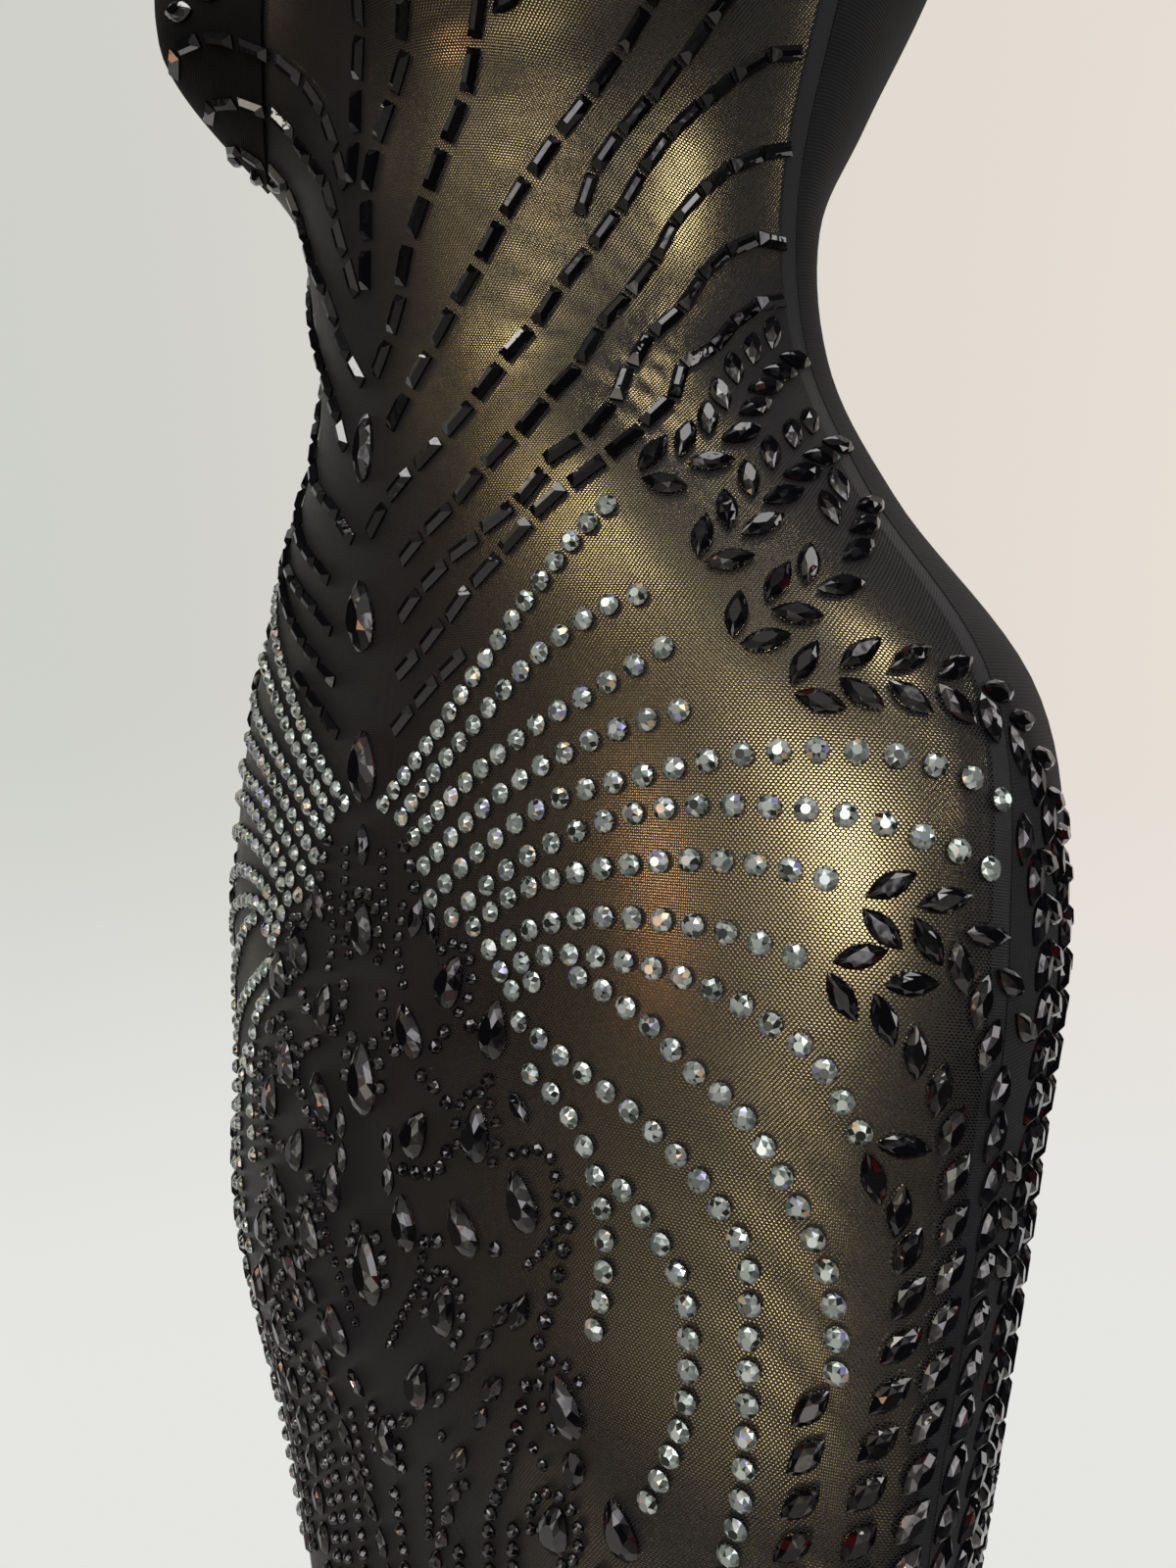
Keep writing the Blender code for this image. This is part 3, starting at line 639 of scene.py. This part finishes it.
# Adds stones where they keep clear of those that are there. A stone is (angle, height, lean).
def addStones(cut, wanted, gap=0.0006, force=False):
    global discPoints, discSizes
    if not len(wanted):
        return
    length, width = cuts[cut][:2]
    angle, height, lean = np.array(wanted, float).T
    turn = np.radians(lean)
    discs = []
    for share in (-0.3, 0.0, 0.3):
        a, h = beside(angle, height, share * length * np.sin(turn), share * length * np.cos(turn))
        discs.append(outside(a, h))
    discs = np.stack(discs, 1)
    sizes = widthShares(cut) * width / 2
    for k in range(len(angle)):
        near = np.abs(discPoints[:, 2] - height[k]) < stoneLook["reach"]
        if near.any() and not force:
            apart = np.linalg.norm(discPoints[near][:, None] - discs[k][None], axis=2)
            if (apart < discSizes[near][:, None] + sizes[None] + gap).any():
                continue
        placed[cut].append((angle[k], height[k], lean[k]))
        discPoints = np.concatenate([discPoints, discs[k]])
        discSizes = np.concatenate([discSizes, sizes])


fineSteps = 400


# Places along a smooth line through the stops, at real distances that may grow along it.
def stonesAlong(stops, spacing, endSpacing=None, start=0.5):
    stops = np.array(stops, float)
    knots = np.linspace(0, 1, len(stops))
    fine = np.linspace(0, 1, fineSteps)
    angle, height = (curveThrough(knots, stops[:, k])(fine) for k in (0, 1))
    points = outside(angle, height)
    length = np.concatenate([[0], np.cumsum(np.linalg.norm(np.diff(points, axis=0), axis=1))])
    endSpacing = endSpacing or spacing
    places = []
    distance = spacing * start
    while distance < length[-1]:
        here = np.interp(distance, length, fine)
        k = min(int(here * (fineSteps - 1)), fineSteps - 2)
        _, sideways, upright, _ = axesAt(angle[k], height[k])
        step = points[k + 1] - points[k]
        lean = np.degrees(np.arctan2(step @ sideways, step @ upright))
        places.append((np.interp(here, fine, angle), np.interp(here, fine, height), lean))
        distance += spacing + (endSpacing - spacing) * distance / length[-1]
    return places


def mirrored(places):
    return [(-angle, height, -lean) for angle, height, lean in places]


# Angle, height and lean of each drop, from the centre front to the wearer's left.
middleDrops = {
    "slimPear": ((0, 1.022, 0),),
    "centrePear": ((0, 0.966, 0), (0, 0.916, 0), (0, 0.812, 0), (0, 0.748, 0)),
    "pear": ((0, 0.862, 0), (0, 0.688, 0)),
}
motifDrops = (
    ("leaf", 9, 0.868, 20), ("pear", 14, 0.850, 28), ("pear", 20, 0.838, 12),
    ("pear", 8, 0.832, -24), ("pear", 18, 0.806, 8), ("pear", 24, 0.790, -14),
    ("pear", 9, 0.800, 30), ("pear", 16, 0.776, -30), ("pear", 7, 0.770, -10),
    ("leaf", 24, 0.757, 22), ("pear", 13, 0.748, 16), ("leaf", 20, 0.730, 40),
    ("pear", 8, 0.718, 28), ("leaf", 14, 0.700, 34), ("pear", 30, 0.735, -20),
    ("pear", 37, 0.705, -12), ("pear", 28, 0.695, 24), ("leaf", 34, 0.670, 6),
)
sprays = {
    "spacing": 0.0125,
    "splay": 36.0,
    "aside": 0.0055,
    "stems": (
        ((47, 0.997), (56, 1.003), (64, 1.014), (71, 1.030), (79, 1.042), (87, 1.052)),
        ((50, 0.970), (57, 0.979), (62, 0.987), (68, 0.996), (75, 1.005), (86, 1.016)),
        ((50, 0.947), (57, 0.957), (63, 0.962), (69, 0.969), (75, 0.980), (86, 0.996)),
        ((55, 0.934), (62, 0.938), (72, 0.937), (82, 0.934), (88, 0.930), (95, 0.918),
         (100, 0.900), (107, 0.870), (110, 0.800), (109, 0.720), (108, 0.650)),
        ((92, 0.904), (97, 0.880), (100, 0.840), (101, 0.780), (100, 0.700), (99, 0.650)),
        ((62, 0.881), (72, 0.877), (79, 0.870), (85, 0.860), (90, 0.840), (93, 0.800),
         (94, 0.740), (93, 0.660)),
        ((58, 0.865), (67, 0.857), (73, 0.848), (79, 0.836), (83, 0.822), (86, 0.796),
         (87, 0.750), (86, 0.660)),
        ((65, 0.821), (72, 0.811), (76, 0.799), (78, 0.780), (77, 0.757), (75, 0.728),
         (75, 0.680), (76, 0.640)),
        ((64, 0.760), (64, 0.728), (62, 0.690), (61, 0.640)),
        ((119, 0.905), (122, 0.840), (121, 0.740), (120, 0.660)),
    ),
}

for cut in ("slimPear", "centrePear", "pear"):
    addStones(cut, middleDrops[cut], force=True)
for side in (1, -1):
    for cut, angle, height, lean in motifDrops:
        addStones(cut, [(side * angle, height, side * lean)])
    for stem in sprays["stems"]:
        for angle, height, lean in stonesAlong(stem, sprays["spacing"]):
            for hand in (1, -1):
                turn = np.radians(lean + hand * 90)
                along, up = sprays["aside"] * np.sin(turn), sprays["aside"] * np.cos(turn)
                spot = beside(np.float64(angle), np.float64(height), along, up)
                addStones("leaf", [(side * spot[0], spot[1], side * (lean + hand * sprays["splay"]))])

# Rays of bars over the bodice, each from the centre front outwards and up.
bars = {
    # spacing at the inner end and at the outer end, stops
    "rays": (
        (0.0150, 0.0142, ((0.8, 1.106), (4, 1.127), (7, 1.141), (11, 1.153), (14, 1.159), (20, 1.166),
                          (28, 1.169), (38, 1.168))),
        (0.0150, 0.0140, ((1.2, 1.072), (4, 1.090), (7, 1.109), (12, 1.123), (16, 1.133), (18.5, 1.143),
                          (24, 1.152), (33, 1.158), (42, 1.160))),
        (0.0150, 0.0140, ((1.5, 1.044), (9, 1.062), (13, 1.078), (19, 1.094), (24, 1.109), (28, 1.123),
                          (31, 1.136), (37, 1.149), (46, 1.157))),
        (0.0150, 0.0136, ((6, 1.024), (11, 1.037), (18, 1.052), (23, 1.062), (29, 1.074), (35, 1.087),
                          (40, 1.097), (45, 1.108), (50, 1.119), (56, 1.133), (64, 1.150), (69, 1.160))),
        (0.0134, 0.0134, ((46, 1.081), (50, 1.096), (55, 1.108), (60, 1.119), (66, 1.132), (71, 1.143),
                          (80, 1.160), (86, 1.166))),
        (0.0150, 0.0130, ((1.5, 0.991), (8, 1.004), (16, 1.015), (24, 1.028), (30, 1.040), (36, 1.050),
                          (41, 1.060), (47, 1.071), (53, 1.083), (57, 1.093), (61, 1.104), (67, 1.115),
                          (74, 1.126), (81, 1.133), (87, 1.136))),
        (0.0146, 0.0128, ((8, 0.980), (13, 0.988), (19, 0.996), (26, 1.008), (32, 1.017), (38, 1.027),
                          (43, 1.037), (48, 1.049), (53, 1.058), (58, 1.068), (63, 1.081), (68, 1.091),
                          (74, 1.100), (82, 1.108), (88, 1.111))),
        (0.0146, 0.0128, ((7, 0.962), (13, 0.973), (22, 0.985), (30, 0.995), (36, 1.006), (42, 1.013),
                          (47, 1.023), (51, 1.034), (56, 1.045), (62, 1.054), (68, 1.067), (74, 1.076),
                          (81, 1.081), (88, 1.083))),
        (0.0146, 0.0128, ((6, 0.944), (12, 0.955), (20, 0.970), (27, 0.982), (34, 0.993), (41, 1.001),
                          (48, 1.010), (52, 1.016), (57, 1.025), (60, 1.034), (66, 1.041), (72, 1.051),
                          (79, 1.060), (87, 1.064))),
        (0.0146, 0.0146, ((5, 0.926), (10, 0.937), (17, 0.950))),
    ),
    # angle, height and lean of the large leaves round each cup's outer edge
    "cupEdge": (
        (18, 1.178, 62), (24, 1.176, 74), (30, 1.171, 80), (49, 1.158, 76), (43, 1.147, 60), (37, 1.139, 58),
    ),
}
for first, last, ray in bars["rays"]:
    places = stonesAlong(ray, first, last)
    for wanted in (places, mirrored(places)):
        addStones("bar", wanted, gap=0.0002)
for wanted in (bars["cupEdge"], mirrored(bars["cupEdge"])):
    addStones("leaf", wanted, gap=0.0002)

# Curved rows of clear rounds that fan out over the hip, closer at their inner ends.
# spacing at the inner end and at the outer end, stops
fan = (
    (0.0073, 0.0071, ((3.5, 0.903), (10, 0.920), (21, 0.950), (33, 0.976), (44, 0.993))),
    (0.0070, 0.0090, ((6.5, 0.899), (14, 0.919), (25, 0.944), (35, 0.958), (43, 0.963))),
    (0.0071, 0.0095, ((8.5, 0.893), (16, 0.910), (25, 0.926), (33, 0.936), (42, 0.947))),
    (0.0078, 0.0098, ((10, 0.884), (17, 0.900), (25, 0.914), (34, 0.924), (46, 0.932))),
    (0.0085, 0.0102, ((11, 0.874), (18, 0.890), (27, 0.905), (37, 0.912), (50, 0.918), (63, 0.918),
                      (72, 0.915), (80, 0.911), (87, 0.905))),
    (0.0092, 0.0098, ((14, 0.869), (22, 0.886), (31, 0.898), (41, 0.904), (53, 0.904), (63, 0.901),
                      (72, 0.896), (80, 0.891), (88, 0.885))),
    (0.0085, 0.0092, ((17, 0.867), (23, 0.879), (31, 0.886), (42, 0.890), (52, 0.889), (62, 0.884))),
    (0.0086, 0.0094, ((19, 0.861), (27, 0.871), (36, 0.874), (46, 0.872), (57, 0.865))),
    (0.0090, 0.0085, ((20.5, 0.855), (27, 0.862), (36, 0.862), (45, 0.857), (52, 0.849), (57, 0.842),
                      (61, 0.831), (65, 0.820))),
    (0.0085, 0.0083, ((22, 0.850), (29, 0.857), (37, 0.848), (43, 0.836), (49, 0.826), (54, 0.812),
                      (58, 0.799), (61, 0.788), (63, 0.775), (64, 0.758))),
    (0.0085, 0.0084, ((23, 0.842), (27, 0.836), (32, 0.829), (38, 0.820), (44, 0.809), (48, 0.799),
                      (51, 0.788), (52, 0.770), (52.5, 0.750), (52.5, 0.725), (51, 0.706), (50, 0.680),
                      (50, 0.640), (50, 0.580))),
    (0.0084, 0.0084, ((36, 0.801), (41, 0.788), (44, 0.776), (45, 0.758), (44.5, 0.742), (42, 0.724),
                      (40, 0.714))),
    (0.0086, 0.0086, ((22, 0.831), (27, 0.824), (31, 0.813), (33.5, 0.799), (34.5, 0.782), (34, 0.766),
                      (33, 0.754))),
)
for first, last, row in fan:
    places = stonesAlong(row, first, last, start=0.1)
    for wanted in (places, mirrored(places)):
        addStones("clearRound", wanted, gap=0.0001)

# Small stones of the middle: rings round its drops, chains between them, and rows that fall in a V.
# A ring keeps a distance from its drop, between two turns from its point.
rings = (
    ("jetRound", "centrePear", 0, 0.812, 0, 35, 325), ("jetRound", "centrePear", 0, 0.748, 0, 35, 325),
    ("jetRound", "pear", 0, 0.862, 0, 20, 340), ("jetRound", "pear", 0, 0.688, 0, 40, 320),
    ("jetDot", "pear", 14, 0.850, 28, -60, 150), ("jetDot", "pear", 18, 0.806, 8, -150, 150),
    ("jetDot", "pear", 13, 0.748, 16, -120, 160), ("jetDot", "pear", 30, 0.735, -20, -150, 60),
    ("jetDot", "pear", 28, 0.695, 24, -130, 140),
)
ringLook = {"away": 0.0034, "spacing": {"jetRound": 0.0062, "jetDot": 0.0049}}
chains = (
    ("leaf", 0.0145, ((0, 0.897), (0, 0.880))),
    ("smallLeaf", 0.0122, ((25, 0.769), (21.5, 0.754), (17, 0.736), (13, 0.722), (9, 0.711), (5, 0.702))),
    ("smallLeaf", 0.0124, ((21.5, 0.734), (18, 0.718), (15, 0.700), (12, 0.684), (9, 0.666), (6, 0.648),
                           (4, 0.630))),
    ("smallLeaf", 0.0124, ((40, 0.700), (39, 0.670), (38, 0.630), (38, 0.590))),
    ("smallPear", 0.0150, ((33, 0.738), (31, 0.716), (28, 0.672), (26, 0.640), (25, 0.600))),
    ("leaf", 0.0165, ((34, 0.744), (32, 0.722), (30.5, 0.700), (28, 0.670), (27, 0.620))),
    ("smallPear", 0.0150, ((4, 0.722), (5, 0.700), (2.5, 0.680))),
    ("smallLeaf", 0.0130, ((11, 0.872), (12, 0.858))),
    ("smallLeaf", 0.0120, ((4.5, 0.800), (4.5, 0.776))),
    ("smallLeaf", 0.0135, ((22, 0.822), (25, 0.812))),
    ("jetRound", 0.0070, ((3, 0.901), (5, 0.897), (7.2, 0.890), (8.6, 0.880), (9, 0.868))),
    ("jetRound", 0.0070, ((20, 0.846), (20.8, 0.835), (19.6, 0.824), (19, 0.816))),
    ("jetRound", 0.0064, ((18, 0.838), (14, 0.836), (11, 0.825), (8, 0.820), (4, 0.832), (3.5, 0.846))),
    ("jetRound", 0.0068, ((9, 0.820), (13, 0.815), (15, 0.808))),
    ("jetRound", 0.0066, ((4, 0.790), (7, 0.787), (12, 0.790), (14, 0.798))),
    ("jetRound", 0.0070, ((7, 0.768), (11, 0.767), (15, 0.773), (18, 0.770), (22, 0.775))),
    ("jetRound", 0.0076, ((30.5, 0.798), (29.5, 0.780), (28, 0.763), (25.5, 0.742), (23.5, 0.722),
                          (21, 0.703), (18, 0.684), (17, 0.660), (16, 0.620), (16, 0.585))),
    ("jetRound", 0.0070, ((0, 0.672), (0, 0.585))),
    ("jetRound", 0.0070, ((12, 0.668), (11, 0.640), (11, 0.590))),
    ("jetRound", 0.0072, ((22, 0.690), (21, 0.670), (20, 0.640), (20, 0.590))),
    ("jetRound", 0.0072, ((34, 0.690), (33, 0.660), (33, 0.600))),
    ("jetDot", 0.0052, ((3.4, 0.890), (3.6, 0.875), (4, 0.862), (2.6, 0.852))),
    ("jetDot", 0.0052, ((7, 0.874), (6, 0.858), (7, 0.846))),
    ("jetDot", 0.0052, ((22, 0.802), (27, 0.806), (28.5, 0.795), (28, 0.782), (25, 0.772))),
    ("jetDot", 0.0052, ((3, 0.724), (6, 0.738), (9, 0.752), (10, 0.762))),
    ("jetDot", 0.0052, ((8, 0.690), (7, 0.672), (6, 0.660))),
    ("jetDot", 0.0052, ((15, 0.690), (13, 0.700), (11, 0.706))),
    ("jetDot", 0.0052, ((25, 0.720), (27, 0.712), (25, 0.700), (24, 0.690))),
)


def ringOf(cut, drop, angle, height, lean, first, last):
    length, width = cuts[drop][:2]
    step = ringLook["spacing"][cut]
    long, wide = length / 2 + ringLook["away"], width / 2 + ringLook["away"]
    count = max(2, round(np.radians(last - first) * (long + wide) / 2 / step))
    turns = np.radians(np.linspace(first, last, count))
    forward, aside = long * np.cos(turns), wide * np.sin(turns)
    tilt = np.radians(lean)
    along = aside * np.cos(tilt) + forward * np.sin(tilt)
    up = forward * np.cos(tilt) - aside * np.sin(tilt)
    angles, heights = beside(np.full(count, float(angle)), np.full(count, height), along, up)
    return [(a, h, 0.0) for a, h in zip(angles, heights)]


for cut, *ring in rings:
    places = ringOf(cut, *ring)
    for wanted in (places, mirrored(places)):
        addStones(cut, wanted, gap=0.0002)
for cut, spacing, line in chains:
    places = stonesAlong(line, spacing)
    for wanted in (places, mirrored(places)):
        addStones(cut, wanted, gap=0.0002)
print("stones placed:", {cut: len(rows) for cut, rows in placed.items()})


# How far out a stone's back sits: on the cups it lies on their fabric.
def backLift(angle, height):
    acrossCup = np.abs(np.abs(angle) - cups["angle"]) < cups["halfAngle"]
    onCup = acrossCup & (height > cupFoot(angle)) & (height < cups["top"])
    return np.where(onCup, cups["lift"] + cups["thickness"], 0.0) - stoneLook["sink"]


# All the stones of some cuts as one mesh, with a random tone for each facet that picks its painted reflection.
def stoneObject(name, kinds, finish, seed):
    rng = np.random.default_rng(seed)
    points, faces, facetGlints = [], [], []
    total = 0
    for cut in kinds:
        if not placed[cut]:
            continue
        length, width, rise = cuts[cut][:3]
        shape, shapeFaces = facetedStone(cut)
        angle, height, lean = np.array(placed[cut], float).T
        lean = lean + rng.normal(0, stoneLook["leanJitter"], len(lean))
        origin, sideways, upright, normal = axesAt(angle, height)
        origin = origin + normal * backLift(angle, height)[:, None]
        turn = np.radians(lean)[:, None]
        forward = sideways * np.sin(turn) + upright * np.cos(turn)
        aside = np.cross(forward, normal)
        tilt = rng.normal(0, stoneLook["tiltJitter"], (len(angle), 2))
        up = unit(normal + forward * tilt[:, :1] + aside * tilt[:, 1:])
        x, y, z = shape[:, 0] * width, shape[:, 1] * length, shape[:, 2] * rise
        mesh = (origin[:, None] + aside[:, None] * x[None, :, None] + forward[:, None] * y[None, :, None]
                + up[:, None] * z[None, :, None])
        points.append(mesh.reshape(-1, 3))
        for k in range(len(angle)):
            shift = total + k * len(shape)
            faces += [[corner + shift for corner in face] for face in shapeFaces]
        # Each facet's random tone picks a painted reflection in its glass finish. Tops and bars are kept to
        # the plainer ones, and a clear round's edge and back always get the darkest one.
        toneAndGlint = rng.random((len(angle), len(shapeFaces)))
        toneAndGlint[:, 0] *= stoneLook["glintCap"]
        if cut == "clearRound":
            toneAndGlint[:, -2 * cuts[cut][4] - 1:] = 0    # its edge and its back stay dark
        if cut == "bar":
            toneAndGlint *= stoneLook["glintCap"]
        facetGlints.append(toneAndGlint.reshape(-1))
        total += len(angle) * len(shape)
    mesh = meshFrom(name, np.concatenate(points), faces)
    mark = mesh.attributes.new("toneAndGlint", "FLOAT", "FACE")
    mark.data.foreach_set("value", np.concatenate(facetGlints).astype(np.float32))
    return keep(bpy.data.objects.new(name, mesh), finish)


stoneObject("jetLeaves", ("leaf", "smallLeaf"), jetFinish, 11)
stoneObject("jetDrops", ("slimPear", "centrePear", "pear", "smallPear"), jetFinish, 12)
stoneObject("jetBars", ("bar",), jetFinish, 13)
stoneObject("clearRounds", ("clearRound",), clearFinish, 14)
stoneObject("jetRounds", ("jetRound", "jetDot"), jetFinish, 15)
print("stones made")

floorLook = {"corners": 128, "radius": 0.72, "thickness": 0.01, "below": 0.0002, "colour": (0.70, 0.70, 0.68)}
floorMiddle = (0, 0, -floorLook["thickness"] / 2 - floorLook["below"])
bpy.ops.mesh.primitive_cylinder_add(vertices=floorLook["corners"], radius=floorLook["radius"],
                                    depth=floorLook["thickness"], location=floorMiddle)
floor = bpy.context.object
floor.name = "floor"
floorFinish, _, _ = newMaterial("floor", floorLook["colour"], 0.6)
floor.data.materials.append(floorFinish)

# The room: a wall behind the gown, and a dark half in front with bright parts and a floor.
room = {
    "left": (0.62, 0.63, 0.59),
    "right": (0.80, 0.73, 0.66),
    "low": (0.79, 0.79, 0.77),
    "dark": (0.016, 0.015, 0.015),
    "bright": (0.66, 0.62, 0.58),
    "ground": (0.32, 0.29, 0.25),
    "steps": (0.28, 0.72),     # where the wall's left tone ends and its right tone begins
    "floorEdge": (96, 64),     # angles from straight down where the floor's tone ends and is full
    "wallEdge": (72, 45),      # angles from the middle of the wall where it ends and is full
}
# Parts of the half in front, laid over each other: turn from the front to the wearer's left,
# tilt up, angles from its middle where each ends and where it is full, colour
roomParts = (
    (10, -62, 60, 24, room["ground"]),
    (33, 8, 58, 24, room["bright"]),
    (-22, 32, 20, 8, (0.80, 0.70, 0.55)),
    (54, -14, 27, 13, room["dark"]),
    (18, -22, 16, 6, (2.30, 2.15, 1.90)),
    (34, 9, 16, 4, (4.60, 4.40, 4.70)),
    (54, 16, 13, 3, (2.40, 2.30, 2.45)),
    (18, 17, 10, 3, (3.80, 3.60, 3.40)),
    (-9, 27, 8, 3, (4.00, 3.60, 3.00)),
    (82, 18, 12, 4, (6.00, 5.80, 5.80)),
    (72, 47, 13, 4, (4.50, 4.30, 4.20)),
    (0, 72, 13, 4, (4.00, 3.85, 3.70)),
)
# name: turn, tilt up, distance, size across and up, brightness, colour
lamps = {
    "spot": (4, 36, 2.2, (0.22, 0.22), 9, (1.0, 0.96, 0.86)),
    "doorway": (-6, -3, 2.0, (0.18, 0.56), 6.0, (1.0, 0.52, 0.27)),
    "doorwayCore": (-6, 1, 1.98, (0.06, 0.10), 22, (1.0, 0.95, 0.90)),
    "ceiling": (40, 80, 1.8, (1.2, 1.2), 4, (1.0, 0.99, 0.97)),
    "rightStrip": (128, 14, 2.2, (0.3, 1.5), 4, (1.0, 0.98, 0.95)),
}
lampCentre = Vector((0, 0, 0.9))

world = bpy.data.worlds.new("room")
bpy.context.scene.world = world
world.use_nodes = True
tree = world.node_tree
view = {"turn": 46.0, "yaw": 1.14, "distance": 0.455, "height": 0.910, "lens": 26.0, "sensor": 36.0}
turn = np.radians(view["turn"])
direction = addNode(tree, "ShaderNodeTexCoord").outputs["Generated"]
dot = addNode(tree, "ShaderNodeVectorMath", operation="DOT_PRODUCT")
tree.links.new(direction, dot.inputs[0])
dot.inputs[1].default_value = (np.cos(turn), np.sin(turn), 0)
sideways = sums(tree, "MULTIPLY_ADD", dot.outputs["Value"], 0.5, 0.5)
shade = colourSteps(tree, sideways, tuple(zip(room["steps"], (room["left"], room["right"]))))


# How near the way looked at is to one direction: 0 past the first angle, 1 within the second.
def lobe(around, tilt, outer, inner):
    around, tilt = np.radians((around, tilt))
    towards = addNode(tree, "ShaderNodeVectorMath", operation="DOT_PRODUCT")
    tree.links.new(direction, towards.inputs[0])
    level = np.cos(tilt)
    towards.inputs[1].default_value = (np.sin(around) * level, -np.cos(around) * level, np.sin(tilt))
    blend = addNode(tree, "ShaderNodeMapRange", interpolation_type="SMOOTHSTEP")
    blend.inputs["From Min"].default_value = np.cos(np.radians(outer))
    blend.inputs["From Max"].default_value = np.cos(np.radians(inner))
    tree.links.new(towards.outputs["Value"], blend.inputs["Value"])
    return blend.outputs[0]


def mixed(share, first, second):
    mix = addNode(tree, "ShaderNodeMix", data_type="RGBA")
    tree.links.new(share, mix.inputs[0])
    for value, socket in ((first, mix.inputs[6]), (second, mix.inputs[7])):
        if isinstance(value, tuple):
            socket.default_value = (*value, 1)
        else:
            tree.links.new(value, socket)
    return mix.outputs[2]


front = room["dark"]
for *part, colour in roomParts:
    front = mixed(lobe(*part), front, colour)
wall = mixed(lobe(0, -90, *room["floorEdge"]), shade, room["low"])
behind = lobe(180 + view["turn"], 0, *room["wallEdge"])
# The gown is lit by and mirrors the whole room, and stands before the plain wall from every side.
lit = mixed(behind, front, wall)
seen = addNode(tree, "ShaderNodeLightPath").outputs["Is Camera Ray"]
tree.links.new(mixed(seen, lit, wall), tree.nodes["Background"].inputs["Color"])

for name, (around, tilt, distance, size, brightness, colour) in lamps.items():
    light = bpy.data.lights.new(name, "AREA")
    light.shape = "RECTANGLE"
    light.size, light.size_y = size
    light.energy = brightness * np.pi * size[0] * size[1]
    light.color = colour
    lamp = bpy.data.objects.new(name, light)
    around, tilt = np.radians((around, tilt))
    toward = Vector((np.sin(around) * np.cos(tilt), -np.cos(around) * np.cos(tilt), np.sin(tilt)))
    lamp.location = lampCentre + distance * toward
    lamp.rotation_euler = (-toward).to_track_quat("-Z", "Y").to_euler()
    bpy.context.scene.collection.objects.link(lamp)

cameraData = bpy.data.cameras.new("camera")
cameraData.lens = view["lens"]
cameraData.sensor_width = view["sensor"]
cameraData.clip_start = 0.01
camera = bpy.data.objects.new("camera", cameraData)
camera.location = (view["distance"] * np.sin(turn), -view["distance"] * np.cos(turn), view["height"])
camera.rotation_euler = (np.pi / 2, 0, turn + np.radians(view["yaw"]))
bpy.context.scene.collection.objects.link(camera)
bpy.context.scene.camera = camera
bpy.context.scene.view_settings.view_transform = "Standard"
print("light and camera set")
